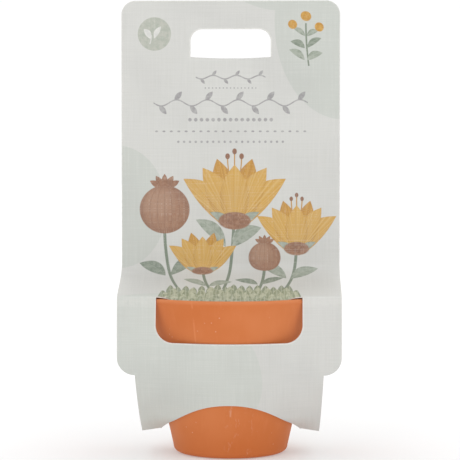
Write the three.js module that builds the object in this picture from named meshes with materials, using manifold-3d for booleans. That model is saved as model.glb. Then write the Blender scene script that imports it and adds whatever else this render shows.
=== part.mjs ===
// Plant pot in a folded card carrier.
// One strip of board loops under the pot: front panel, bottom fold, back panel. The two ends are glued
// together as the header, which has a handle hole. The rim of the pot sits in a slot in each panel.
// Millimetres, +Z up, front towards -Y. The pot stands on the plane z = 0.

import * as THREE from 'three';
import Module from 'manifold-3d';

const wasm = await Module();
wasm.setup();

// ---------------------------------------------------------------- driving dimensions

const BOARD = 0.55;             // thickness of one layer of board
const GLUE_LAP = 0.02;          // how far each layer runs past the middle plane where they are glued
const CARD_HALF = 54.5;         // half width of the header and the wings
const CARD_TOP = 225.05;
const HEADER_CORNER = 7;
const GAP = 0.3;                // clearance between board and pot

const HANDLE = { half: 20, bottom: 197.05, top: 210.9, corner: 6, bow: 0.75 };
const BEND_TOP = 95.2;          // where the panels leave each other
const CREASE = { forward: 28.6, z: 79.1, slope: 24 };   // fold over the pot's rim, slope in degrees
const SLOT = { half: 35.5, bottom: 57.4, corner: 8.4 };
const WING = { forward: 30, shoulder: 41.2, fullDepth: 48.2, relax: 58.2, inner: 45.8 };
const FOLD = { z: 10.4, half: 44.4, cutHalf: 35, droop: 0.75 };   // the fold's outer ends hang lower
const ARCH = { top: 27.2, power: 2.2 };   // round cut-out in front of the pot
const BOW_HALF = 51;            // half width over which a panel bows around the pot
const TONGUE = { runs: [0.7, 1.6, 4.2, 7], reach: [44.1, 42.3], settle: 1.8 };   // clears the rim

const POT = {
  base: 27.9, taper: 0.2219, height: 78.2, wall: 1.9, floor: 2.4,
  foot: 3, recess: 1.0, ring: 20.5, drain: 5,
};
const DISC = { radius: 24, height: 11, edge: 1.6 };
const SACHET = { length: 44, width: 33, thickness: 2.6, seam: 0.5, turn: 18 };

const COLORS = { board: 0xd6d7d3, pot: 0xcb7748, coir: 0x5b3d28, sachet: 0xc9ab80 };

// ---------------------------------------------------------------- small helpers

const clamp01 = (t) => Math.min(1, Math.max(0, t));
const lerp = (a, b, t) => a + (b - a) * t;
const smooth = (t) => clamp01(t) ** 2 * (3 - 2 * clamp01(t));
const radians = THREE.MathUtils.degToRad;
const potRadius = (z) => POT.base + POT.taper * z;

function solidFrom(geometry) {
  const position = geometry.getAttribute('position');
  return new wasm.Manifold(new wasm.Mesh({
    numProp: 3,
    vertProperties: new Float32Array(position.array),
    triVerts: new Uint32Array(geometry.index.array),
  }));
}

function geometryFrom(solid) {
  const mesh = solid.getMesh();
  const geometry = new THREE.BufferGeometry();
  geometry.setAttribute('position', new THREE.Float32BufferAttribute(mesh.vertProperties, 3));
  geometry.setIndex([...mesh.triVerts]);
  geometry.computeVertexNormals();
  return geometry;
}

function namedMesh(name, geometry, color, roughness) {
  const material = new THREE.MeshStandardMaterial({ color, roughness, metalness: 0 });
  const mesh = new THREE.Mesh(geometry, material);
  mesh.name = name;
  return mesh;
}

// ---------------------------------------------------------------- shape of one panel

// How far the outer wings stand forward of the middle plane at height z.
function wingForward(z) {
  if (z < WING.fullDepth) {
    return WING.forward * Math.sin((Math.PI / 2) * (z - FOLD.z) / (WING.fullDepth - FOLD.z));
  }
  const relax = clamp01((z - WING.relax) / (CREASE.z - WING.relax));
  return lerp(WING.forward, CREASE.forward, relax ** 1.5);
}

// The panel below the crease: flat wings with a smooth bow in front of the pot.
function lowerForward(x, z) {
  const wing = wingForward(z);
  const touch = potRadius(z) + GAP + BOARD / 2;
  const fadeIn = smooth((z - FOLD.z) / 8.5);
  const fadeOut = 1 - smooth((z - WING.relax) / (CREASE.z - WING.relax));
  const bow = Math.abs(x) < BOW_HALF ? Math.cos((Math.PI / 2) * x / BOW_HALF) ** 2 : 0;
  return wing + (touch - wing) * fadeIn * fadeOut * bow;
}

function lowerNormal(x, z) {
  const h = 0.05;
  const dx = (lowerForward(x + h, z) - lowerForward(x - h, z)) / (2 * h);
  const low = Math.max(FOLD.z, z - h);
  const dz = (lowerForward(x, z + h) - lowerForward(x, low)) / (z + h - low);
  return new THREE.Vector3(-dx, 1, -dz).normalize();
}

// The panel between header and crease follows a curve in the (forward, z) plane.
const layerForward = BOARD / 2 - GLUE_LAP;
const slopeAngle = radians(CREASE.slope);
const slopeCurve = new THREE.CubicBezierCurve(
  new THREE.Vector2(CREASE.forward, CREASE.z),
  new THREE.Vector2(CREASE.forward - 12 * Math.cos(slopeAngle), CREASE.z + 12 * Math.sin(slopeAngle)),
  new THREE.Vector2(layerForward, BEND_TOP - 7.5),
  new THREE.Vector2(layerForward, BEND_TOP),
);
const slopeNormal = new THREE.Vector3(0, Math.sin(slopeAngle), Math.cos(slopeAngle));

// The bottom fold is a little curved: it rises beside the round cut-out and hangs lower at its ends.
function foldDroop(x, z) {
  const middle = (FOLD.cutHalf + FOLD.half) / 2;
  const tilt = Math.max(-1, Math.min(1, (middle - Math.abs(x)) / (FOLD.half - middle)));
  return FOLD.droop * tilt * smooth((Math.abs(x) - 20) / 12) * clamp01(1 - (z - FOLD.z) / 20);
}

// Half width of the tongue after a run down the slope, so that it slips inside the rim.
function tongueHalf(run) {
  const forward = CREASE.forward + run * Math.cos(slopeAngle);
  const reach = lerp(...TONGUE.reach, clamp01(run / TONGUE.settle));
  return Math.sqrt(reach ** 2 - forward ** 2);
}

// Edges of the cut-outs and of the outline, as heights at a distance x from the middle.
const archEdge = (x, half) => lerp(FOLD.z, ARCH.top, Math.max(0, 1 - Math.abs(x / half) ** ARCH.power));

function roundedEdge(x, flat, radius, level, way) {
  const over = Math.max(0, Math.abs(x) - flat);
  return level + way * (radius - Math.sqrt(Math.max(0, radius ** 2 - over ** 2)));
}

const slotEdge = (x) => roundedEdge(x, SLOT.half - SLOT.corner, SLOT.corner, SLOT.bottom, 1);
const handleTopEdge = (x) => roundedEdge(x, HANDLE.half - HANDLE.corner, HANDLE.corner, HANDLE.top, -1);
const handleBottomEdge = (x) => HANDLE.bottom - HANDLE.bow * (1 - (x / HANDLE.half) ** 2);
const shoulderEdge = (x) => roundedEdge(x, WING.inner, CARD_HALF - WING.inner, WING.shoulder, 1);
const headerEdge = (x) => roundedEdge(x, CARD_HALF - HEADER_CORNER, HEADER_CORNER, CARD_TOP, -1);

// ---------------------------------------------------------------- grid of the panel

// Columns run from the middle to the side. Each has a group and a share of its group's width.
const CORNER_STEPS = 6;
const halfColumns = [];
const flatShare = 1 - SLOT.corner / SLOT.half;
for (let i = 0; i < 5; i++) halfColumns.push({ group: 'middle', share: flatShare * i / 5 });
for (let i = 0; i < CORNER_STEPS; i++) {
  const share = flatShare + (1 - flatShare) * Math.sin((Math.PI / 2) * i / CORNER_STEPS);
  halfColumns.push({ group: 'middle', share });
}
for (let i = 0; i < 2; i++) halfColumns.push({ group: 'side', share: i / 2 });
for (let i = 0; i <= 5; i++) halfColumns.push({ group: 'wing', share: Math.sin((Math.PI / 2) * i / 5) });
const TONGUE_COLUMNS = 5 + 4;   // columns from the middle that belong to the tongue

const columns = [
  ...halfColumns.slice(1).map((c, i) => ({ ...c, side: -1, step: i + 1 })).reverse(),
  ...halfColumns.map((c, i) => ({ ...c, side: 1, step: i })),
];

// Rows run from the bottom fold to the top of the header. `edges` gives the middle group's and the
// wings' half widths, `level` the height at column x.
const LOW_ROWS = 7, MID_ROWS = 5, STRUT_ROWS = 2, SLOPE_ROWS = 7, TOP_ROWS = 3;
const slotShoulder = SLOT.bottom + SLOT.corner;
const rows = [];

for (let i = 0; i <= LOW_ROWS + MID_ROWS; i++) {
  const below = i <= LOW_ROWS;
  const side = below
    ? lerp(FOLD.z, WING.shoulder, (i / LOW_ROWS) ** 1.15)
    : lerp(WING.shoulder, slotShoulder, (i - LOW_ROWS) / MID_ROWS);
  const share = (side - FOLD.z) / (slotShoulder - FOLD.z);
  const rise = clamp01((side - FOLD.z) / (WING.shoulder - FOLD.z));
  const half = lerp(FOLD.cutHalf, SLOT.half, share);
  rows.push({
    part: 'lower',
    middle: half,
    inner: lerp(FOLD.half, WING.inner, rise),
    level: (x, group) => {
      if (group === 'middle') {
        return lerp(archEdge(x, half), slotEdge(x * SLOT.half / half), share);
      }
      if (group === 'wing' && i >= LOW_ROWS) {
        return lerp(shoulderEdge(x), slotShoulder, (i - LOW_ROWS) / MID_ROWS);
      }
      return side;
    },
    cells: { middle: i < LOW_ROWS + MID_ROWS, side: true, wing: !below || i === LOW_ROWS },
  });
}
for (let i = 1; i <= STRUT_ROWS; i++) {
  const level = lerp(slotShoulder, CREASE.z, i / STRUT_ROWS);
  const crease = i === STRUT_ROWS;
  rows.push({
    part: crease ? 'crease' : 'lower', middle: SLOT.half, inner: WING.inner, level: () => level,
    cells: { middle: crease, side: true, wing: true },
  });
}
for (let i = 1; i <= SLOPE_ROWS; i++) {
  const t = i / SLOPE_ROWS;
  rows.push({
    part: 'slope', t, middle: lerp(SLOT.half, 30, t), inner: lerp(WING.inner, CARD_HALF - HEADER_CORNER, t),
    level: () => slopeCurve.getPoint(t).y, cells: { middle: true, side: true, wing: true },
  });
}
const headerRow = (level, middle = true) => rows.push({
  part: 'header', middle: HANDLE.half, inner: CARD_HALF - HEADER_CORNER, level,
  cells: { middle, side: true, wing: true },
});
headerRow((x, group) => (group === 'middle' ? handleBottomEdge(x) : HANDLE.bottom), false);
for (let i = 0; i <= TOP_ROWS; i++) {
  const start = (x, group) => (group === 'middle' ? handleTopEdge(x) : HANDLE.top - HANDLE.corner);
  headerRow((x, group) => lerp(start(x, group), headerEdge(x), i / TOP_ROWS));
}

// ---------------------------------------------------------------- panel as a solid

function panelSheet() {
  const points = [];                       // { at, out, reach } on the middle of the board
  const cells = [];
  const grid = rows.map((row) => columns.map((column) => {
    const { group, share, side } = column;
    const halves = { middle: [0, row.middle], side: [row.middle, row.inner], wing: [row.inner, CARD_HALF] };
    const x = side * lerp(...halves[group], share);
    const z = row.level(x, group);
    let forward, out, reach = 1;
    if (row.part === 'slope') {
      const at = slopeCurve.getPoint(row.t);
      const along = slopeCurve.getTangent(row.t);
      forward = at.x;
      out = new THREE.Vector3(0, along.y, -along.x);
    } else if (row.part === 'header') {
      forward = layerForward;
      out = new THREE.Vector3(0, 1, 0);
    } else if (row.part === 'crease') {
      forward = CREASE.forward;
      out = slopeNormal.clone();
      if (group !== 'middle') {
        const lower = lowerNormal(x, z - 0.1);
        out.add(lower).normalize();
        reach = 1 / out.dot(lower);
      }
    } else {
      forward = lowerForward(x, z);
      out = lowerNormal(x, z);
    }
    if (row === rows[0] && group !== 'middle') {   // the bottom fold, mitred with the other panel
      reach = 1 / -out.z;
      out = new THREE.Vector3(0, 0, -1);
      forward = -GLUE_LAP;
    }
    const droop = row.part === 'lower' ? foldDroop(x, z) : 0;
    return points.push({ at: new THREE.Vector3(x, forward, z + droop), out, reach }) - 1;
  }));

  const groupOf = (j) => {
    const outer = columns[j].step > columns[j + 1].step ? columns[j] : columns[j + 1];
    return halfColumns[outer.step - 1].group;
  };
  for (let i = 0; i < rows.length - 1; i++) {
    for (let j = 0; j < columns.length - 1; j++) {
      const group = groupOf(j);
      if (rows[i].cells[group]) cells.push([grid[i][j], grid[i][j + 1], grid[i + 1][j + 1], grid[i + 1][j]]);
    }
  }

  // The tongue carries the slope on into the mouth of the pot.
  const creaseRow = LOW_ROWS + MID_ROWS + STRUT_ROWS;
  let above = grid[creaseRow];
  const widest = SLOT.half * halfColumns[TONGUE_COLUMNS].share;
  for (const run of TONGUE.runs) {
    const row = above.map((index, j) => {
      if (columns[j].step > TONGUE_COLUMNS) return -1;
      const x = points[grid[creaseRow][j]].at.x * tongueHalf(run) / widest;
      const at = new THREE.Vector3(x, CREASE.forward + run * Math.cos(slopeAngle),
        CREASE.z - run * Math.sin(slopeAngle));
      return points.push({ at, out: slopeNormal, reach: 1 }) - 1;
    });
    for (let j = 0; j < columns.length - 1; j++) {
      if (row[j] < 0 || row[j + 1] < 0) continue;
      cells.push([row[j], row[j + 1], above[j + 1], above[j]]);
    }
    above = row;
  }
  return { points, cells };
}

// Gives the sheet its thickness: an outer face, an inner face and walls along every free edge.
function thicken({ points, cells }, facing) {
  const position = [], index = [], edges = new Map();
  for (const way of [0.5, -0.5]) {
    for (const { at, out, reach } of points) {
      const p = at.clone().addScaledVector(out, way * BOARD * reach);
      position.push(p.x, -facing * p.y, p.z);
    }
  }
  const count = points.length;
  const face = (a, b, c) => index.push(...(facing > 0 ? [a, b, c] : [a, c, b]));
  for (const [a, b, c, d] of cells) {
    face(a, b, c);
    face(a, c, d);
    face(count + a, count + c, count + b);
    face(count + a, count + d, count + c);
    for (const [from, to] of [[a, b], [b, c], [c, d], [d, a]]) {
      if (!edges.delete(`${to},${from}`)) edges.set(`${from},${to}`, [from, to]);
    }
  }
  for (const [from, to] of edges.values()) {
    face(from, count + to, to);
    face(from, count + from, count + to);
  }
  const geometry = new THREE.BufferGeometry();
  geometry.setAttribute('position', new THREE.Float32BufferAttribute(position, 3));
  geometry.setIndex(index);
  return dropLoose(geometry);
}

// Keeps only the vertices that a triangle uses.
function dropLoose(geometry) {
  const source = geometry.getAttribute('position');
  const renamed = new Map(), position = [];
  const index = [...geometry.index.array].map((old) => {
    if (!renamed.has(old)) {
      renamed.set(old, renamed.size);
      position.push(source.getX(old), source.getY(old), source.getZ(old));
    }
    return renamed.get(old);
  });
  const tidy = new THREE.BufferGeometry();
  tidy.setAttribute('position', new THREE.Float32BufferAttribute(position, 3));
  tidy.setIndex(index);
  return tidy;
}

function carrierGeometry() {
  const sheet = panelSheet();
  const front = solidFrom(thicken(sheet, 1));
  const back = solidFrom(thicken(sheet, -1));
  return geometryFrom(front.add(back));
}

// ---------------------------------------------------------------- pot and what it holds

function lathe(profile, segments) {
  const points = profile.map(([radius, z]) => new THREE.Vector2(radius, z));
  return new THREE.LatheGeometry(points, segments).rotateX(Math.PI / 2);
}

function potGeometry() {
  const { base, foot, floor, height, wall, ring, recess, drain } = POT;
  const profile = [[ring, 0], [base - foot, 0]];
  for (let i = 1; i <= 5; i++) {           // soft corner at the foot
    const a = (Math.PI / 2) * i / 5;
    const side = potRadius(foot);
    profile.push([base - foot + (side - base + foot) * Math.sin(a), foot * (1 - Math.cos(a))]);
  }
  for (const z of [20, 40, 60, height - 2.6]) profile.push([potRadius(z), z]);
  const lip = potRadius(height) - 1.25;
  for (let i = 0; i <= 8; i++) {           // rounded lip
    const a = Math.PI * i / 8;
    profile.push([lip + 1.25 * Math.cos(a), height - 1.3 + 1.3 * Math.sin(a)]);
  }
  for (const z of [height - 2.6, 50, 25, floor + 4]) profile.push([potRadius(z) - wall, z]);
  for (let i = 1; i <= 3; i++) {           // fillet between wall and floor
    const a = (Math.PI / 2) * i / 3;
    profile.push([potRadius(floor + 4) - wall - 4 * (1 - Math.cos(a)), floor + 4 * (1 - Math.sin(a))]);
  }
  profile.push([drain, floor], [drain, recess], [ring - 0.6, recess], [ring, 0]);
  return lathe(profile, 64);
}

function discGeometry() {
  const { radius, height, edge } = DISC;
  const low = POT.floor + 0.1;
  const profile = [
    [0, low], [radius - edge, low], [radius, low + edge], [radius, low + height - edge],
    [radius - 0.4 * edge, low + height - 0.4 * edge], [radius - edge, low + height], [0, low + height],
  ];
  return lathe(profile, 40);
}

function sachetGeometry() {
  const { length, width, thickness, seam, turn } = SACHET;
  const geometry = new THREE.BoxGeometry(length, width, 1, 10, 8, 1);
  const position = geometry.getAttribute('position');
  for (let i = 0; i < position.count; i++) {
    const u = Math.min(1, Math.abs(position.getX(i)) / (length / 2 - 3));
    const v = Math.min(1, Math.abs(position.getY(i)) / (width / 2 - 3));
    const fill = (1 - u ** 4) * (1 - v ** 4);
    position.setZ(i, position.getZ(i) * lerp(seam, thickness, fill));
  }
  geometry.rotateZ(radians(turn));
  geometry.translate(0, 0, POT.floor + 0.1 + DISC.height + 0.1 + thickness / 2);
  return geometry;
}

// ---------------------------------------------------------------- assembly

const group = new THREE.Group();
group.name = 'plant_pot_in_card_carrier';
group.add(
  namedMesh('card_carrier', carrierGeometry(), COLORS.board, 0.85),
  namedMesh('pot', potGeometry(), COLORS.pot, 0.5),
  namedMesh('coir_disc', discGeometry(), COLORS.coir, 1),
  namedMesh('seed_sachet', sachetGeometry(), COLORS.sachet, 0.7),
);

export default group;
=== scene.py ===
"""Dresses a plant pot in its folded card carrier: board, print, pot, coir disc and seed sachet.

Sizes are in millimetres unless a name says otherwise, and Blender's metres are reached with MM. The row
frame has +X to the right seen from the front, -Y towards the front and +Z up, with z = 0 under the pot.
"""

import logging
import math
from dataclasses import dataclass, replace
from enum import Enum
from functools import partial
from typing import Callable, ClassVar, Optional, Protocol, Sequence, Union

import bpy
import numpy as np
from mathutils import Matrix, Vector

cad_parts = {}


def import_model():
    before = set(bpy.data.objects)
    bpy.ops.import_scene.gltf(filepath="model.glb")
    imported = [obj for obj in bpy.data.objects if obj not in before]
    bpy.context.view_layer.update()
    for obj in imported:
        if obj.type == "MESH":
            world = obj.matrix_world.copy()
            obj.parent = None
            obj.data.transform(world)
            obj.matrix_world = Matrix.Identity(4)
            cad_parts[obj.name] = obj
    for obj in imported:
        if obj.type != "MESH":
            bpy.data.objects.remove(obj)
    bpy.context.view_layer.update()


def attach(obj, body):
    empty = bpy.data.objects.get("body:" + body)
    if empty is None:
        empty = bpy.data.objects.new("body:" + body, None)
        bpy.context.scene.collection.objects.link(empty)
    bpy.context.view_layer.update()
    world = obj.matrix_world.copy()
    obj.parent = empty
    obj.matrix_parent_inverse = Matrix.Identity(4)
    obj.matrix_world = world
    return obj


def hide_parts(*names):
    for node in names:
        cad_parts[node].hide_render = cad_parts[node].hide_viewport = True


MM = 0.001
BODY = "root"
FLAT_MAP = "flat"

Pair = tuple[float, float]
Rgba = tuple[float, float, float, float]
Socket = bpy.types.NodeSocket
Material = bpy.types.Material
Piece = bpy.types.Object

log = logging.getLogger("pot_in_carrier")


# ------------------------------------------------------------------ colours and shader values


def linear(red: float, green: float, blue: float) -> Rgba:
    """Turns a display colour into scene light.

    Args:
        red: Red from 0 to 255.
        green: Green from 0 to 255.
        blue: Blue from 0 to 255.

    Returns:
        The linear colour with full alpha.
    """
    parts = [c / 255 for c in (red, green, blue)]
    light = [c / 12.92 if c <= 0.04045 else ((c + 0.055) / 1.055) ** 2.4 for c in parts]
    return light[0], light[1], light[2], 1.0


class Tone(Enum):
    """Named colours of the print, the board and the pieces."""

    BOARD = linear(211, 211, 207)
    SAGE_WASH = linear(201, 204, 198)
    SAGE_WASH_PALE = linear(205, 208, 202)
    BADGE = linear(190, 191, 181)
    OCHRE = linear(208, 163, 85)
    OCHRE_DEEP = linear(190, 140, 65)
    OCHRE_PALE = linear(215, 180, 114)
    ROSE = linear(167, 128, 104)
    ROSE_DEEP = linear(146, 108, 87)
    ROSE_PALE = linear(183, 149, 126)
    LEAF = linear(153, 161, 147)
    LEAF_DEEP = linear(129, 140, 126)
    LEAF_PALE = linear(174, 180, 168)
    STEM = linear(128, 139, 123)
    HEDGE = linear(168, 171, 144)
    HEDGE_DEEP = linear(138, 146, 120)
    HEDGE_PALE = linear(201, 203, 181)
    INK = linear(148, 145, 147)
    INNER = linear(220, 218, 212)
    EDGE = linear(228, 227, 222)
    EDGE_SEAM = linear(162, 160, 154)


Number = Union[float, int, "Value"]
Paint = Union[Socket, Tone, Rgba]


class Value:
    """A shader number: Python arithmetic on it adds Math nodes."""

    def __init__(self, shader: "Shader", socket: Socket) -> None:
        """Wraps one output socket of the shader."""
        self.shader = shader
        self.socket = socket

    def math(self, operation: str, *others: Number) -> "Value":
        """Adds a Math node on this value and what follows it in the node's sockets."""
        return self.shader.math(operation, self, *others)

    def __add__(self, other: Number) -> "Value":
        """self + other, either way round."""
        return self.math("ADD", other)

    __radd__ = __add__

    def __sub__(self, other: Number) -> "Value":
        """self - other."""
        return self.math("SUBTRACT", other)

    def __rsub__(self, other: Number) -> "Value":
        """other - self."""
        return self.shader.math("SUBTRACT", other, self)

    def __mul__(self, other: Number) -> "Value":
        """self * other, either way round."""
        return self.math("MULTIPLY", other)

    __rmul__ = __mul__

    def __truediv__(self, other: Number) -> "Value":
        """self / other."""
        return self.math("DIVIDE", other)

    def __rtruediv__(self, other: Number) -> "Value":
        """other / self."""
        return self.shader.math("DIVIDE", other, self)

    def __abs__(self) -> "Value":
        """Absolute value."""
        return self.math("ABSOLUTE")

    def times_plus(self, factor: Number, addend: Number) -> "Value":
        """self * factor + addend in one node."""
        return self.math("MULTIPLY_ADD", factor, addend)

    def step(self, low: float, high: float) -> "Value":
        """Rises smoothly from 0 at low to 1 at high.

        Args:
            low: Where the result is 0.
            high: Where the result is 1; it may be below low.

        Returns:
            A mask from 0 to 1.
        """
        settings = {"interpolation_type": "SMOOTHSTEP", "clamp": True}
        inputs = {"Value": self, "From Min": low, "From Max": high, "To Min": 0.0, "To Max": 1.0}
        return self.shader.value("ShaderNodeMapRange", settings, inputs, "Result")


class Shader:
    """The nodes of one material, or of the world, under construction."""

    def __init__(self, holder: Union[Material, bpy.types.World]) -> None:
        """Empties the node tree of a new material or world.

        Args:
            holder: What the nodes belong to.
        """
        self.holder = holder
        self.holder.use_nodes = True
        self.tree = self.holder.node_tree
        self.tree.nodes.clear()

    def node(self, kind: str, settings: dict, inputs: dict) -> bpy.types.Node:
        """Adds a node.

        Args:
            kind: The node's type.
            settings: Properties, set first.
            inputs: Socket name or number to a constant, a Value or a socket.

        Returns:
            The new node.
        """
        made = self.tree.nodes.new(kind)
        for key, setting in settings.items():
            setattr(made, key, setting)
        for key, given in inputs.items():
            self.feed(made.inputs[key], given)
        return made

    def feed(self, socket: Socket, given: Union[Number, Paint, str]) -> None:
        """Links or sets one input socket.

        Args:
            socket: The socket.
            given: A Value, a socket, a Tone or a constant.
        """
        if isinstance(given, Value):
            self.tree.links.new(given.socket, socket)
        elif isinstance(given, Socket):
            self.tree.links.new(given, socket)
        elif isinstance(given, Tone):
            socket.default_value = given.value
        else:
            socket.default_value = given

    def value(self, kind: str, settings: dict, inputs: dict, output: Union[str, int]) -> Value:
        """Adds a node and wraps one of its outputs as a Value."""
        return Value(self, self.node(kind, settings, inputs).outputs[output])

    def math(self, operation: str, *operands: Number) -> Value:
        """Adds a Math node on the operands."""
        inputs = dict(enumerate(operands))
        return self.value("ShaderNodeMath", {"operation": operation}, inputs, 0)

    def blend(self, mask: Number, below: Paint, above: Paint) -> Socket:
        """Mixes two colours.

        Args:
            mask: 0 gives below, 1 gives above.
            below: The colour that is there.
            above: The colour that the mask lays over it.

        Returns:
            The mixed colour.
        """
        factor, first, second, result = 0, 6, 7, 2   # the Mix node's sockets for colours
        inputs = {factor: mask, first: below, second: above}
        return self.node("ShaderNodeMix", {"data_type": "RGBA"}, inputs).outputs[result]

    def object_place(self) -> Socket:
        """The point in the row frame, in metres."""
        return self.node("ShaderNodeTexCoord", {}, {}).outputs["Object"]

    def flat_place(self) -> Socket:
        """The point on the flat board or paper, in millimetres."""
        return self.node("ShaderNodeUVMap", {"uv_map": FLAT_MAP}, {}).outputs["UV"]

    def split(self, place: Socket) -> tuple[Value, Value, Value]:
        """The three numbers of a vector."""
        made = self.node("ShaderNodeSeparateXYZ", {}, {0: place})
        return Value(self, made.outputs[0]), Value(self, made.outputs[1]), Value(self, made.outputs[2])

    def stretch(self, place: Socket, scale: Sequence[float],
                shift: Sequence[float] = (0, 0, 0)) -> Socket:
        """Scales and moves a place for a texture that is longer one way."""
        inputs = {"Vector": place, "Scale": tuple(scale), "Location": tuple(shift)}
        return self.node("ShaderNodeMapping", {}, inputs).outputs[0]

    def noise(self, place: Socket, scale: float, detail: float = 2.0,
              rough: float = 0.5, twist: float = 0.0) -> Value:
        """A noise from about 0 to 1 at a place."""
        inputs = {"Vector": place, "Scale": scale, "Detail": detail, "Roughness": rough, "Distortion": twist}
        return self.value("ShaderNodeTexNoise", {}, inputs, 0)

    def cells(self, place: Socket, scale: float) -> Value:
        """Distance to the nearest of scattered points."""
        return self.value("ShaderNodeTexVoronoi", {}, {"Vector": place, "Scale": scale}, "Distance")

    def bump(self, height: Value, depth: float, strength: float,
             below: Optional[Socket] = None) -> Socket:
        """Turns a height into a normal.

        Args:
            height: The height from 0 to 1.
            depth: What a height of 1 stands for, in millimetres.
            strength: How much of it shows.
            below: A normal that this one lies on.

        Returns:
            The normal.
        """
        inputs = {"Height": height, "Distance": depth * MM, "Strength": strength}
        if below is not None:
            inputs["Normal"] = below
        return self.node("ShaderNodeBump", {}, inputs).outputs[0]

    def finish(self, color: Paint, rough: Number, normal: Optional[Socket],
               varied: Optional[dict] = None, **constants: float) -> Material:
        """Adds the surface and closes the material.

        Args:
            color: Base colour.
            rough: Roughness.
            normal: The bumped normal, or None.
            varied: Sockets of the surface that change over it.
            constants: Sockets that are the same all over, with _ for a space.

        Returns:
            The finished material.
        """
        inputs = {"Base Color": color, "Roughness": rough}
        if normal is not None:
            inputs["Normal"] = normal
        inputs.update(varied or {})
        inputs.update({key.replace("_", " "): constant for key, constant in constants.items()})
        surface = self.node("ShaderNodeBsdfPrincipled", {}, inputs)
        self.node("ShaderNodeOutputMaterial", {}, {"Surface": surface.outputs[0]})
        return self.holder


# ------------------------------------------------------------------ printed ornament


@dataclass(frozen=True)
class Sheet:
    """The flat board as a motif sees it: its place in millimetres and the ink's uneven lay."""

    shader: Shader
    x: Value
    y: Value
    ink: Value

    def place(self, per_x: float, per_y: float, x: float, y: float) -> Value:
        """A level number that is 0 at a point and grows by given amounts per millimetre.

        Args:
            per_x: Growth per millimetre across.
            per_y: Growth per millimetre along.
            x: The point across.
            y: The point along.

        Returns:
            The number.
        """
        start = -per_x * x - per_y * y
        if per_x == 0:
            return self.y.times_plus(per_y, start)
        if per_y == 0:
            return self.x.times_plus(per_x, start)
        return self.x.times_plus(per_x, self.y.times_plus(per_y, start))


class Motif(Protocol):
    """Anything that can be printed on the board."""

    def paint(self, sheet: Sheet, below: Paint) -> Socket:
        """Lays the motif over the colour below.

        Args:
            sheet: The flat board.
            below: The colour under the motif.

        Returns:
            The colour with the motif on it.
        """


Motifs = tuple[Motif, ...]


@dataclass(frozen=True)
class Leaf:
    """A pointed leaf or petal: its middle, length, width, turn in degrees and sideways bend."""

    FADE: ClassVar[Pair] = (-0.16, 0.12)
    SHADE: ClassVar[Pair] = (0.24, -0.10)
    TOWARDS_FOOT: ClassVar[float] = 0.12
    RIB: ClassVar[Pair] = (0.42, 0.12)
    VEIN: ClassVar[Pair] = (0.3, 0.05)
    VEIN_SLANT: ClassVar[float] = -1.3
    VEIN_SPACE: ClassVar[float] = 0.09

    x: float
    y: float
    length: float
    width: float
    turn: float
    tone: Tone
    bend: float = 0.0
    pale: Tone = Tone.LEAF_PALE
    deep: Tone = Tone.LEAF_DEEP
    rib: float = 0.0
    veins: float = 0.0

    def paint(self, sheet: Sheet, below: Paint) -> Socket:
        """Lays the leaf over the colour below, deeper at its foot and edge.

        Args:
            sheet: The flat board.
            below: The colour under the leaf.

        Returns:
            The colour with the leaf on it.
        """
        along, across = math.cos(math.radians(self.turn)), math.sin(math.radians(self.turn))
        half, w = self.length / 2, self.width
        u = sheet.place(along / half, across / half, self.x, self.y)
        v = sheet.place(-across, along, self.x, self.y)
        square = u * u
        if self.bend:
            v = square.times_plus(self.bend, v)
        side = abs(v)
        inside = square.times_plus(-w / 2, w / 2) - side
        mask = inside.step(*self.FADE)
        dark = u.times_plus(self.TOWARDS_FOOT * w, inside).step(self.SHADE[0] * w, self.SHADE[1] * w)
        fill = sheet.shader.blend(dark, self.tone, self.deep)
        fill = sheet.shader.blend(sheet.ink, fill, self.pale)
        if self.rib:
            fill = sheet.shader.blend(side.step(*self.RIB) * self.rib, fill, self.pale)
        if self.veins:
            slanted = u.times_plus(half, side * self.VEIN_SLANT)
            vein = slanted.math("PINGPONG", self.VEIN_SPACE * self.length)
            fill = sheet.shader.blend(vein.step(*self.VEIN) * self.veins, fill, self.pale)
        return sheet.shader.blend(mask, below, fill)


@dataclass(frozen=True)
class Oval:
    """A filled oval: its middle, width and height, the softness of its edge and its shading."""

    SPECKS_PER_MM: ClassVar[float] = 0.62
    SPECK: ClassVar[Pair] = (0.72, 0.3)

    x: float
    y: float
    width: float
    height: float
    tone: Tone
    soft: float = 0.15
    shade: Optional[Tone] = None
    speckled: bool = False

    def paint(self, sheet: Sheet, below: Paint) -> Socket:
        """Lays the oval over the colour below.

        Args:
            sheet: The flat board.
            below: The colour under the oval.

        Returns:
            The colour with the oval on it.
        """
        u = sheet.place(2 / self.width, 0, self.x, self.y)
        v = sheet.place(0, 2 / self.height, self.x, self.y)
        reach = v.times_plus(v, u * u)
        edge = 4 * self.soft / min(self.width, self.height)
        mask = reach.step(1 + edge, 1 - edge)
        if self.shade is None:
            return sheet.shader.blend(mask, below, self.tone)
        fill = sheet.shader.blend(sheet.ink, self.tone, self.shade)
        if self.speckled:
            dots = sheet.shader.cells(sheet.shader.flat_place(), self.SPECKS_PER_MM).step(*self.SPECK)
            fill = sheet.shader.blend(dots * reach.step(1.1, 0.1), fill, self.shade)
        return sheet.shader.blend(mask, below, fill)


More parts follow.
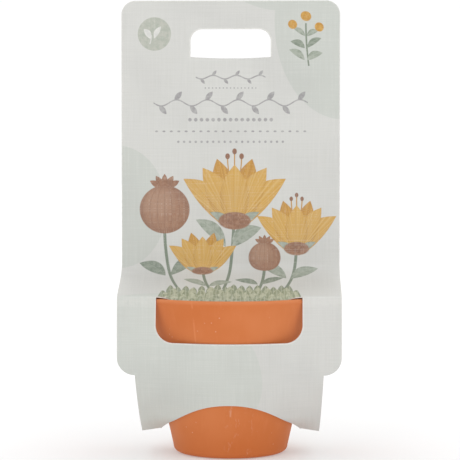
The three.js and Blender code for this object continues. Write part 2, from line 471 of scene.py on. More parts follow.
@dataclass(frozen=True)
class Stem:
    """An upright stem from low to high that leans sideways by its sway at the foot."""

    FADE: ClassVar[float] = 0.15

    x: float
    low: float
    high: float
    sway: float
    width: float = 1.5
    tone: Tone = Tone.STEM

    def paint(self, sheet: Sheet, below: Paint) -> Socket:
        """Lays the stem over the colour below.

        Args:
            sheet: The flat board.
            below: The colour under the stem.

        Returns:
            The colour with the stem on it.
        """
        down = sheet.place(0, 1 / (self.low - self.high), self.x, self.high)
        offset = (down * down).times_plus(-self.sway, sheet.x - self.x)
        mask = abs(offset).step(self.width / 2 + self.FADE, self.width / 2 - self.FADE)
        between_ends = abs(down - 0.5).step(0.505, 0.495)
        return sheet.shader.blend(mask * between_ends, below, self.tone)


@dataclass(frozen=True)
class Mirror:
    """Parts drawn alike on both sides of an upright line, with a tilt that lifts one side."""

    x: float
    parts: Motifs
    tilt: float = 0.0

    def paint(self, sheet: Sheet, below: Paint) -> Socket:
        """Lays the parts over the colour below, back to front.

        Args:
            sheet: The flat board.
            below: The colour under the parts.

        Returns:
            The colour with the parts on it.
        """
        across = sheet.x - self.x
        level = across.times_plus(self.tilt, sheet.y) if self.tilt else sheet.y
        folded = Sheet(sheet.shader, abs(across), level, sheet.ink)
        for part in self.parts:
            below = part.paint(folded, below)
        return below


FAR_WAVES = 40   # waves added before a remainder is taken, so that it is never of a number below 0
ROW_FADE = 0.1   # softness of a row's two ends


@dataclass(frozen=True)
class Garland:
    """A level garland: a wavy tendril with a leaf in every wave, turned up and down by turns.

    Its leaf is given in shares of the rise, and its leaf's place also in shares of the wave.
    """

    SWING: ClassVar[float] = 0.35
    TENDRIL: ClassVar[Pair] = (0.48, 0.18)
    LEAF_LENGTH: ClassVar[float] = 1.3
    LEAF_HALF_WIDTH: ClassVar[float] = 0.29
    LEAF_PLACE: ClassVar[Pair] = (0.10, 0.78)
    LEAF_LEAN: ClassVar[float] = math.radians(50)

    level: float
    half: float
    wave: float
    rise: float
    tone: Tone = Tone.INK

    def paint(self, sheet: Sheet, below: Paint) -> Socket:
        """Lays the garland over the colour below.

        Args:
            sheet: The flat board.
            below: The colour under the garland.

        Returns:
            The colour with the garland on it.
        """
        shader = sheet.shader
        turn = shader.math("SINE", sheet.x * (math.pi / self.wave))
        flip = turn.math("SIGN")
        dx = (sheet.x + FAR_WAVES * self.wave).math("FLOORED_MODULO", self.wave) - self.wave / 2
        dy = (sheet.y - self.level) * flip
        tendril = abs(dy - abs(turn) * (self.SWING * self.rise)).step(*self.TENDRIL)
        half_length = self.LEAF_LENGTH * self.rise / 2
        along, across = math.cos(self.LEAF_LEAN), math.sin(self.LEAF_LEAN)
        cx, cy = self.LEAF_PLACE[0] * self.wave, self.LEAF_PLACE[1] * self.rise
        u = (dx - cx).times_plus(along / half_length, (dy - cy) * (across / half_length))
        v = (dx - cx).times_plus(-across, (dy - cy) * along)
        half_width = self.LEAF_HALF_WIDTH * self.rise
        leaf = (u * u).times_plus(-half_width, half_width) - abs(v)
        shape = shader.math("MAXIMUM", leaf.step(-0.12, 0.12), tendril)
        mask = shape * abs(sheet.x).step(self.half + ROW_FADE, self.half - ROW_FADE)
        return shader.blend(mask * sheet.ink.times_plus(-0.35, 0.9), below, self.tone)


@dataclass(frozen=True)
class Beads:
    """A level row of small beads, round or drawn out along the row."""

    level: float
    half: float
    wave: float
    size: float
    drawn: float = 1.0
    tone: Tone = Tone.INK

    def paint(self, sheet: Sheet, below: Paint) -> Socket:
        """Lays the beads over the colour below.

        Args:
            sheet: The flat board.
            below: The colour under the beads.

        Returns:
            The colour with the beads on it.
        """
        far = sheet.x + FAR_WAVES * self.wave
        dx = sheet.shader.math("PINGPONG", far, self.wave / 2) * (1 / self.drawn)
        dy = sheet.y - self.level
        edge = (self.size / 2) ** 2
        dot = dx.times_plus(dx, dy * dy).step(edge * 1.3, edge * 0.7)
        mask = dot * abs(sheet.x).step(self.half + ROW_FADE, self.half - ROW_FADE)
        return sheet.shader.blend(mask * sheet.ink.times_plus(-0.3, 0.85), below, self.tone)


@dataclass(frozen=True)
class HedgeRow:
    """One row of the hedge: its wave, sideways shift, foot over the crease, height and tones."""

    wave: float
    shift: float
    foot: float
    tall: float
    tone: Tone
    shade: Tone


@dataclass(frozen=True)
class Hedge:
    """Rows of small overlapping leaves that stand on the crease above the pot's rim."""

    ROWS: ClassVar[tuple[HedgeRow, ...]] = (
        HedgeRow(3.9, 0.0, 3.4, 11.0, Tone.HEDGE_DEEP, Tone.LEAF),
        HedgeRow(4.6, 2.1, 1.2, 10.4, Tone.HEDGE, Tone.HEDGE_PALE),
        HedgeRow(3.7, 1.0, -1.4, 10.4, Tone.HEDGE_DEEP, Tone.HEDGE),
        HedgeRow(4.3, 3.0, -4.0, 10.2, Tone.HEDGE, Tone.HEDGE_PALE),
        HedgeRow(3.9, 0.4, -8.0, 10.6, Tone.HEDGE_DEEP, Tone.HEDGE_PALE),
    )
    FAR_LEAVES: ClassVar[int] = 20      # leaves left of the middle, so that no leaf's number is below 0
    UNEVEN: ClassVar[float] = 7.2       # how much two leaves of a row may differ in height
    ENDS: ClassVar[Pair] = (11, 1)      # where a row starts to sink, and how far it runs on
    SINK: ClassVar[float] = 16.0        # how far its last leaves are sunk
    LEAF_HALF: ClassVar[float] = 0.44   # half of a leaf's width, in waves
    DOWN_TONGUE: ClassVar[float] = 8.0  # how far the rows run down the tongue

    crease: float
    half: float
    tongue_half: float

    def paint(self, sheet: Sheet, below: Paint) -> Socket:
        """Lays the rows over the colour below, the farthest first.

        Args:
            sheet: The flat board.
            below: The colour under the rows.

        Returns:
            The colour with the rows on it.
        """
        shader = sheet.shader
        color = below
        over = sheet.y - self.crease
        on_tongue = abs(sheet.x).step(self.tongue_half, self.tongue_half - 0.3)
        on_tongue = on_tongue * over.step(-self.DOWN_TONGUE - 0.2, -self.DOWN_TONGUE)
        place = shader.math("MAXIMUM", over.step(-0.4, -0.1), on_tongue)
        fall = abs(sheet.x).step(self.half - self.ENDS[0], self.half + self.ENDS[1])
        sunk = fall.times_plus(self.SINK, over)
        for row in self.ROWS:
            along = sheet.x.times_plus(1 / row.wave, self.FAR_LEAVES + row.shift / row.wave)
            number = {"W": along.math("FLOOR")}
            lot = shader.value("ShaderNodeTexWhiteNoise", {"noise_dimensions": "1D"}, number, 0)
            side = abs(along.math("FRACT") - 0.5)
            level = sunk.times_plus(2 / row.tall, -2 * row.foot / row.tall - 1)
            u = lot.times_plus(self.UNEVEN / row.tall, level)
            half = self.LEAF_HALF * row.wave
            leaf = (u * u).times_plus(-half, half) - side * row.wave
            bank = u.step(-0.16, -0.56) * fall.step(0.9, 0.5)
            fill = shader.blend(sheet.ink * 0.7, row.tone, row.shade)
            fill = shader.blend(side.step(0.09, 0.02) * 0.5, fill, Tone.HEDGE_PALE)
            mask = shader.math("MAXIMUM", leaf.step(-0.1, 0.15), bank) * place
            color = shader.blend(mask, color, fill)
        return color


@dataclass(frozen=True)
class Petal:
    """One petal in shares of its bloom's height, with its turn in degrees."""

    across: float
    up: float
    length: float
    width: float
    turn: float
    bend: float
    front: bool


@dataclass(frozen=True)
class Bloom:
    """A cup-shaped bloom of pointed petals seen from the side: its middle and its height.

    What it is made of is given in shares of its height.
    """

    PETALS: ClassVar[tuple[Petal, ...]] = (
        Petal(0.13, 0.04, 0.94, 0.36, 75, 0.0, False),
        Petal(0.37, -0.05, 0.86, 0.32, 50, 0.11, True),
        Petal(0.21, -0.03, 0.92, 0.36, 68, 0.08, True),
        Petal(0.0, -0.05, 0.92, 0.42, 90, 0.0, True),
    )
    STAMENS: ClassVar[tuple[Pair, ...]] = ((0.10, 0.53), (0.0, 0.60))
    ANTHER: ClassVar[Pair] = (0.065, 0.085)
    THREAD_WIDTH: ClassVar[float] = 0.55
    STREAKS: ClassVar[dict] = {"Scale": 21.0, "Detail": 2.0, "Roughness": 0.6}

    x: float
    y: float
    size: float
    stamens: bool = True

    def paint(self, sheet: Sheet, below: Paint) -> Socket:
        """Lays the bloom over the colour below, its fine streaks running out from the foot.

        Args:
            sheet: The flat board.
            below: The colour under the bloom.

        Returns:
            The colour with the bloom on it.
        """
        shader = sheet.shader
        if self.stamens:
            below = Mirror(self.x, self.stamen_parts()).paint(sheet, below)
        around = shader.math("ARCTAN2", sheet.x - self.x, sheet.y - (self.y - 0.5 * self.size))
        inputs = {"W": around, **self.STREAKS}
        streak = shader.value("ShaderNodeTexNoise", {"noise_dimensions": "1D"}, inputs, 0)
        streaked = Sheet(shader, sheet.x, sheet.y, streak.step(0.34, 0.76))
        below = Mirror(self.x, self.petals()).paint(streaked, below)
        return Mirror(self.x, self.foot()).paint(sheet, below)

    def stamen_parts(self) -> Motifs:
        """Draws the thin stamens that stand between the back petals.

        Returns:
            Their parts on one side.
        """
        s, y = self.size, self.y
        made: list[Motif] = []
        for across, up in self.STAMENS:
            made.append(Stem(across * s, y, y + up * s, -across * s, self.THREAD_WIDTH, Tone.OCHRE_DEEP))
            made.append(Oval(across * s, y + up * s, self.ANTHER[0] * s, self.ANTHER[1] * s, Tone.ROSE_DEEP))
        return tuple(made)

    def petals(self) -> Motifs:
        """Draws the petals.

        Returns:
            The petals of one side, back to front.
        """
        s = self.size
        made = []
        for petal in self.PETALS:
            tone, pale, deep = Tone.OCHRE_DEEP, Tone.OCHRE, Tone.ROSE
            if petal.front:
                tone, pale, deep = Tone.OCHRE, Tone.OCHRE_PALE, Tone.OCHRE_DEEP
            made.append(Leaf(petal.across * s, self.y + petal.up * s, petal.length * s, petal.width * s,
                             petal.turn, tone, petal.bend * s, pale, deep))
        return tuple(made)

    def foot(self) -> Motifs:
        """Draws the round foot under the petals, with small sepals.

        Returns:
            Its parts on one side.
        """
        s, y = self.size, self.y
        return (
            Leaf(0.17 * s, y - 0.36 * s, 0.40 * s, 0.13 * s, 38, Tone.LEAF, 0.04 * s),
            Oval(0.0, y - 0.39 * s, 0.46 * s, 0.25 * s, Tone.ROSE, 0.3, Tone.ROSE_DEEP, True),
        )


@dataclass(frozen=True)
class SeedPod:
    """A round ribbed seed pod with a small crown: its middle and its width."""

    SQUAT: ClassVar[float] = 0.96
    RIBS: ClassVar[float] = 3.4
    CROWN: ClassVar[tuple[Pair, ...]] = ((28, 0.17), (58, 0.10), (90, 0.0))

    x: float
    y: float
    size: float

    def paint(self, sheet: Sheet, below: Paint) -> Socket:
        """Lays the pod over the colour below.

        Args:
            sheet: The flat board.
            below: The colour under the pod.

        Returns:
            The colour with the pod on it.
        """
        shader, s = sheet.shader, self.size
        below = Mirror(self.x, self.crown()).paint(sheet, below)
        u = sheet.place(2 / s, 0, self.x, self.y)
        v = sheet.place(0, 2 / (self.SQUAT * s), self.x, self.y)
        level = v * v
        reach = u.times_plus(u, level)
        bulge = (1.02 - level).math("MAXIMUM", 0.02).math("SQRT")
        rib = ((u / bulge) * self.RIBS).math("PINGPONG", 0.5)
        fill = shader.blend(reach.step(0.4, 1.05) * 0.55 + sheet.ink * 0.45, Tone.ROSE, Tone.ROSE_DEEP)
        light = (u + 0.25).times_plus(u + 0.25, (v - 0.3).math("POWER", 2)).step(0.7, 0.0)
        fill = shader.blend(light * 0.55, fill, Tone.ROSE_PALE)
        fill = shader.blend(rib.step(0.11, 0.02) * 0.5, fill, Tone.ROSE_DEEP)
        return shader.blend(reach.step(1 + 0.9 / s, 1 - 0.9 / s), below, fill)

    def crown(self) -> Motifs:
        """Draws the crown's points.

        Returns:
            The points on one side.
        """
        s, y = self.size, self.y + 0.45 * self.size
        made = []
        for turn, reach in self.CROWN:
            up = 0.12 * s * math.sin(math.radians(turn))
            made.append(Leaf(reach * s, y + up, 0.28 * s, 0.12 * s, turn,
                             Tone.ROSE_DEEP, 0.0, Tone.ROSE, Tone.ROSE_DEEP))
        return tuple(made)


SMALLEST_VEINED_LEAF = 14   # the length from which a leaf shows its side veins


def leaf_pair(x: float, y: float, length: float, rise: float = 38, tilt: float = 0.12) -> Mirror:
    """Two leaves that spring from one point of a stem.

    Args:
        x: The point across the board.
        y: The point along the board.
        length: Each leaf's length.
        rise: How steeply they stand, in degrees.
        tilt: How far the pair leans to one side.

    Returns:
        Both leaves.
    """
    out = 0.5 * length * math.cos(math.radians(rise))
    up = 0.5 * length * math.sin(math.radians(rise))
    tone = Tone.LEAF if tilt > 0 else Tone.LEAF_DEEP
    pale = Tone.LEAF_PALE if tilt > 0 else Tone.LEAF
    veins = 0.3 if length > SMALLEST_VEINED_LEAF else 0.0
    leaf = Leaf(out, y + up, length, 0.38 * length, rise, tone, 0.12 * length, pale, Tone.STEM, 0.6, veins)
    return Mirror(x, (leaf,), tilt)


def berry_sprig(x: float, y: float, reach: float) -> list[Motif]:
    """A short sprig with paired leaves and three berries.

    Args:
        x: Its middle across the board.
        y: Its middle along the board.
        reach: Half of its height.

    Returns:
        Its stem, leaves and berries.
    """
    lean = 0.1
    shapes: list[Motif] = [Stem(x, y - reach, y + reach * 0.7, 0.12 * reach, 0.8)]
    for level, size, tilt in ((-0.7, 0.72, lean), (-0.22, 0.66, -lean), (0.24, 0.54, lean)):
        shapes.append(leaf_pair(x, y + level * reach, size * reach, 30, tilt))
    berries: list[Motif] = []
    for across, level, size in ((0.53, 0.60, 0.36), (0.02, 0.98, 0.38)):
        berries.append(Oval(across * reach, y + level * reach, size * reach, size * reach,
                            Tone.OCHRE, shade=Tone.OCHRE_DEEP))
    shapes.append(Mirror(x, tuple(berries), lean))
    return shapes


@dataclass(frozen=True)
class CutShape:
    """A round-cornered cut-out on the flat board, and the levels between which its edge is a cut."""

    half: float
    low: float
    high: float
    radius: float
    cut_from: float
    cut_to: float

    def distance(self, sheet: Sheet) -> Value:
        """Distance outside the cut-out's edge, in millimetres.

        Args:
            sheet: The flat board.

        Returns:
            The distance, below zero inside.
        """
        middle, tall = (self.low + self.high) / 2, (self.high - self.low) / 2
        over_x = (abs(sheet.x) - (self.half - self.radius)).math("MAXIMUM", 0)
        over_y = (abs(sheet.y - middle) - (tall - self.radius)).math("MAXIMUM", 0)
        return over_x.times_plus(over_x, over_y * over_y).math("SQRT") - self.radius

    def rubbed_edge(self, sheet: Sheet) -> Value:
        """Where the cut edge's corner is rubbed.

        Args:
            sheet: The flat board.

        Returns:
            A mask from 0 to 1.
        """
        level = abs(sheet.y - (self.cut_from + self.cut_to) / 2)
        reach = (self.cut_to - self.cut_from) / 2
        gap = self.distance(sheet)
        return gap.step(0.8, 0.3) * gap.step(-0.5, -0.2) * level.step(reach + 0.1, reach - 0.1)


@dataclass(frozen=True)
class Artwork:
    """The ornament of both outer faces on the flat board, in millimetres, back to front."""

    WASHES: ClassVar[Motifs] = (
        Oval(56, 214, 68, 96, Tone.SAGE_WASH), Oval(26, 251, 74, 62, Tone.SAGE_WASH),
        Oval(-35, 19, 102, 92, Tone.SAGE_WASH_PALE),
    )
    SIDE_WASH: ClassVar[Oval] = Oval(-57, 122, 50, 62, Tone.SAGE_WASH)
    BADGE: ClassVar[Motifs] = (
        Oval(-38, 208.5, 16.6, 16.6, Tone.BADGE, shade=Tone.LEAF_PALE),
        Stem(-39.5, 203.5, 208, -0.8, 0.6, Tone.BOARD),
        Mirror(-39, (Leaf(2.2, 209.2, 6.4, 2.7, 58, Tone.BOARD, 0.5, Tone.EDGE, Tone.BOARD),), -0.15),
    )
    TITLE: ClassVar[Motifs] = (
        Garland(187.0, 17.4, 5.8, 2.6), Beads(181.6, 13.5, 1.8, 0.7), Garland(174.2, 38.5, 7.7, 4.4),
        Beads(165.8, 21.75, 2.9, 1.8), Beads(160.0, 38.85, 3.7, 0.9, 1.7), Beads(154.8, 27.55, 2.9, 1.2),
    )
    MEADOW: ClassVar[Motifs] = (
        Stem(2, 70, 130, -5), Stem(-33, 70, 112, 8), Stem(33, 70, 106, -6), Stem(17, 68, 96, -3),
        Stem(-14, 68, 96, 5),
        leaf_pair(-1, 104, 19), leaf_pair(-31, 87, 17, 38, -0.12), leaf_pair(29, 84, 17),
        leaf_pair(14.5, 77, 13, 30, -0.1), leaf_pair(-11, 75, 13, 30),
        Bloom(2, 129, 35), SeedPod(-33, 121, 25), Bloom(33, 112, 27), Bloom(-14, 98, 23, False),
        SeedPod(17, 97, 16),
    )
    LONE_BLOOM: ClassVar[Motifs] = (
        Stem(0, 108, 150, 3), leaf_pair(0, 120, 20), leaf_pair(1, 134, 17, 38, -0.12), Bloom(0, 162, 26),
        Beads(183, 13.5, 1.8, 0.7), Beads(101, 33.35, 2.9, 1.2),
    )

    hedge: Hedge

    def front(self) -> Motifs:
        """Everything on the front."""
        head = (*self.BADGE, *berry_sprig(37.5, 205.0, 12.5), *self.TITLE)
        return (*self.WASHES, self.SIDE_WASH, *head, *self.MEADOW, self.hedge)

    def back(self) -> Motifs:
        """Everything on the back."""
        return (*self.WASHES, *self.LONE_BLOOM, self.hedge)


# ------------------------------------------------------------------ finishes


@dataclass(frozen=True)
class BoardPrint:
    """The printed outer face of the board, laid out on the flat in millimetres."""

    THREAD: ClassVar[Pair] = (0.045, 1.7)   # waves per millimetre along a thread and across

    name: str
    motifs: Motifs
    cuts: tuple[CutShape, ...]
    outline: CutShape
    crease: float
    slot_half: float

    def material(self) -> Material:
        """Makes the printed board.

        Returns:
            The finished material.
        """
        shader = Shader(bpy.data.materials.new(self.name))
        flat = shader.flat_place()
        x, y, _ = shader.split(flat)
        pigment = shader.noise(flat, 0.42, 4.0, 0.62)
        sheet = Sheet(shader, x, y, pigment.step(0.36, 0.68))
        color: Paint = Tone.BOARD
        for motif in self.motifs:
            color = motif.paint(sheet, color)
        linen = self.linen(shader, flat)
        cloud = shader.noise(flat, 0.03, 1.0)
        color = shader.blend(linen.step(1.0, 1.3) * 0.13, color, Tone.BADGE)
        color = shader.blend(linen.step(0.98, 0.7) * 0.16, color, Tone.EDGE)
        color = shader.blend(cloud.step(0.4, 0.7) * 0.08, color, Tone.INK)
        # paler where the print is rubbed at the outline and cut-outs, and a painted highlight along the
        # crease
        color = shader.blend(self.wear_and_crease_highlight(sheet) * pigment.step(0.2, 0.6), color, Tone.EDGE)
        normal = shader.bump(linen, 0.05, 0.5)
        return shader.finish(color, linen.times_plus(0.06, 0.46), normal, Specular_IOR_Level=0.3)

    def linen(self, shader: Shader, flat: Socket) -> Value:
        """The board's emboss: long fine threads both ways, shown in colour and in height.

        Args:
            shader: The print's nodes.
            flat: The place on the flat board.

        Returns:
            The height of the threads, about 1 in the middle.
        """
        along, across = self.THREAD
        weft = shader.noise(shader.stretch(flat, (along, across, 1)), 1.0, 1.0, 0.5)
        warp = shader.noise(shader.stretch(flat, (across, along, 1), (31, 7, 0)), 1.0, 1.0, 0.5)
        return weft + warp

    def wear_and_crease_highlight(self, sheet: Sheet) -> Value:
        """Where the print is rubbed pale along the cut-outs and the outline, and a painted highlight along
        the crease.

        Args:
            sheet: The flat board.

        Returns:
            A mask from 0 to 1.
        """
        beside = abs(sheet.x).step(self.slot_half, self.slot_half + 2)
        # painted highlight: a pale line on the crease and a broad pale band under it, beside the slot, for
        # the light the crease catches
        broken = abs(sheet.y - self.crease).step(0.8, 0.1) * 0.2
        fold = broken + abs(sheet.y - (self.crease - 2.4)).step(3.4, 0.4) * 0.3
        rub = self.outline.distance(sheet).step(-0.6, -0.1) * 0.7
        for cut in self.cuts:
            rub = sheet.shader.math("MAXIMUM", rub, cut.rubbed_edge(sheet) * 0.8)
        return sheet.shader.math("MAXIMUM", fold * beside, rub)


@dataclass(frozen=True)
class BareBoard:
    """The unprinted inner face of the board."""

    name: str = "board_inner"

    def material(self) -> Material:
        """Makes the bare board.

        Returns:
            The finished material.
        """
        shader = Shader(bpy.data.materials.new(self.name))
        flat = shader.flat_place()
        pulp = shader.noise(flat, 1.6, 4.0, 0.65)
        fibre = shader.noise(shader.stretch(flat, (0.5, 3.0, 1)), 1.0, 3.0, 0.6, 0.6)
        color = shader.blend(pulp.step(0.35, 0.75) * 0.3, Tone.INNER, Tone.BOARD)
        color = shader.blend(fibre.step(0.62, 0.74) * 0.3, color, Tone.EDGE_SEAM)
        return shader.finish(color, pulp.times_plus(0.1, 0.72), shader.bump(pulp, 0.05, 0.6))


@dataclass(frozen=True)
class CutEdge:
    """The board's cut edge, with the glue line between the header's two layers."""

    name: str = "board_edge"
    seam_half: Pair = (0.09, 0.03)    # where the glue line ends and where it is full
    seam_level: Pair = (91.0, 95.0)   # the heights between which it sets in

    def material(self) -> Material:
        """Makes the cut edge.

        Returns:
            The finished material.
        """
        shader = Shader(bpy.data.materials.new(self.name))
        place = shader.object_place()
        _, depth, height = shader.split(place)
        grain = shader.noise(place, 2600, 3.0, 0.6)
        seam = abs(depth / MM).step(*self.seam_half) * (height / MM).step(*self.seam_level)
        color = shader.blend(grain.step(0.4, 0.7) * 0.35, Tone.EDGE, Tone.BOARD)
        color = shader.blend(seam * 0.8, color, Tone.EDGE_SEAM)
        return shader.finish(color, 0.8, shader.bump(grain, 0.04, 0.6))


@dataclass(frozen=True)
class PotPlastic:
    """Moulded terracotta-coloured plastic with dust, rubs, a faint flow line, a painted highlight on the lip
    and painted shade towards the foot.

    Levels are millimetres over the floor, and turns are radians from the front.
    """

    name: str = "terracotta_plastic"
    base: Rgba = linear(214, 128, 78)
    deep: Rgba = linear(198, 104, 48)
    pale: Rgba = linear(226, 146, 100)
    dust: Rgba = linear(222, 178, 152)
    lip_highlight_levels: Pair = (75.7, 77.8)
    foot_shade_levels: Pair = (20.0, 0.0)
    flow_turn: float = -0.40
    flow_levels: Pair = (30.0, 60.0)
    rub_turn: float = 0.16
    rub_levels: Pair = (36.0, 22.0)

    def material(self) -> Material:
        """Makes the pot's plastic.

        Returns:
            The finished material.
        """
        shader = Shader(bpy.data.materials.new(self.name))
        place = shader.object_place()
        x, y, z = shader.split(place)
        around, level = shader.math("ARCTAN2", x, 0 - y), z / MM
        cloud = shader.noise(place, 26, 3.0, 0.55)
        streak = shader.noise(shader.stretch(place, (420, 420, 18)), 1.0, 2.0, 0.6)
        color = shader.blend(cloud.step(0.3, 0.72) * 0.5, self.base, self.deep)
        color = shader.blend(streak.step(0.5, 0.8) * 0.10, color, self.pale)
        # painted highlight: a paler band round the lip, where light catches its rounded top
        color = shader.blend(level.step(*self.lip_highlight_levels) * 0.45, color, self.pale)
        broken = shader.noise(shader.stretch(place, (10, 10, 130), (9, 2, 4)), 1.0, 2.0).step(0.42, 0.6)
        flow = abs(around - self.flow_turn).step(0.016, 0.004) * level.step(*self.flow_levels) * broken
        color = shader.blend(flow * 0.34, color, self.pale)
        # painted shade: the plastic turns deeper towards the foot, where less light reaches
        color = shader.blend(level.step(*self.foot_shade_levels) * 0.38, color, self.deep)
        worn = shader.noise(shader.stretch(place, (330, 330, 110), (3, 1, 5)), 1.0, 4.0, 0.7).step(0.56, 0.7)
        zone = abs(around - self.rub_turn).step(0.30, 0.05) * level.step(*self.rub_levels)
        rubs = worn * (zone + streak.step(0.66, 0.82) * 0.22)
        color = shader.blend(rubs * 0.6, color, self.dust)
        specks = shader.cells(place, 330).step(0.14, 0.07) * shader.noise(place, 60).step(0.56, 0.7)
        color = shader.blend(specks * 0.55, color, self.dust)
        fine = shader.noise(place, 1500, 2.0, 0.5)
        normal = shader.bump(fine, 0.02, 0.5, shader.bump(streak, 0.03, 0.3))
        rough = rubs.times_plus(0.25, cloud.times_plus(0.12, 0.44))
        return shader.finish(color, rough, normal, Specular_IOR_Level=0.1)


@dataclass(frozen=True)
class CoirFibre:
    """Pressed coir: dark grains with paler fibres."""

    name: str = "coir"
    base: Rgba = linear(66, 44, 29)
    grains: Rgba = linear(112, 80, 54)
    fibres: Rgba = linear(158, 122, 84)
    dark_patches: Rgba = linear(50, 34, 23)

    def material(self) -> Material:
        """Makes the pressed coir.

        Returns:
            The finished material.
        """
        shader = Shader(bpy.data.materials.new(self.name))
        place = shader.object_place()
        grain = shader.cells(place, 620)
        fibre = shader.noise(shader.stretch(place, (240, 1100, 700)), 1.0, 4.0, 0.7, 1.5)
        patch = shader.noise(place, 120, 3.0)
        color = shader.blend(grain.step(0.2, 0.7), self.base, self.grains)
        color = shader.blend(fibre.step(0.58, 0.7) * 0.7, color, self.fibres)
        # darker patches at random
        color = shader.blend(patch.step(0.5, 0.75) * 0.4, color, self.dark_patches)
        return shader.finish(color, 0.95, shader.bump(grain + fibre, 0.6, 0.8))


@dataclass(frozen=True)
class SachetPaper:
    """Brown kraft paper with pale fibres, crimped ends and a small printed leaf."""

    CRIMP: ClassVar[float] = 0.45         # half of the way from one crimp to the next
    STEEP: ClassVar[float] = 2.2          # rise of a crimp's height a millimetre
    FAR: ClassVar[float] = 60.0           # added so that no remainder is taken of a number below 0
    SEAM: ClassVar[Pair] = (4.2, 3.8)     # from the ends: where the crimps start and where they are full
    SPRIG: ClassVar[Motifs] = (
        Leaf(0, 1.5, 13, 5.5, 62, Tone.LEAF_DEEP, 1.2, Tone.LEAF, Tone.STEM, 0.7),
        Stem(-2.6, -8.5, -2.5, -1.2, 0.8, Tone.LEAF_DEEP),
    )

    length: float
    name: str = "sachet_paper"
    base: Rgba = linear(190, 155, 112)
    pulp: Rgba = linear(208, 176, 134)
    laid: Rgba = linear(172, 138, 98)

    def material(self) -> Material:
        """Makes the sachet's paper.

        Returns:
            The finished material.
        """
        shader = Shader(bpy.data.materials.new(self.name))
        flat = shader.flat_place()
        x, y, _ = shader.split(flat)
        pulp = shader.noise(flat, 0.9, 4.0, 0.6)
        laid = shader.noise(shader.stretch(flat, (0.3, 6.0, 1)), 1.0, 2.0)
        color = shader.blend(pulp.step(0.3, 0.75), self.base, self.pulp)
        color = shader.blend(laid.step(0.6, 0.75) * 0.4, color, self.laid)
        sheet = Sheet(shader, x, y, pulp.step(0.4, 0.7))
        for motif in self.SPRIG:
            color = motif.paint(sheet, color)
        ends = abs(x).step(*(self.length / 2 - reach for reach in self.SEAM))
        crimp = shader.math("PINGPONG", x + self.FAR, self.CRIMP) * self.STEEP * ends
        normal = shader.bump(crimp, 0.3, 0.7, shader.bump(pulp, 0.15, 0.5))
        return shader.finish(color, 0.7, normal)


# ------------------------------------------------------------------ modelling bench


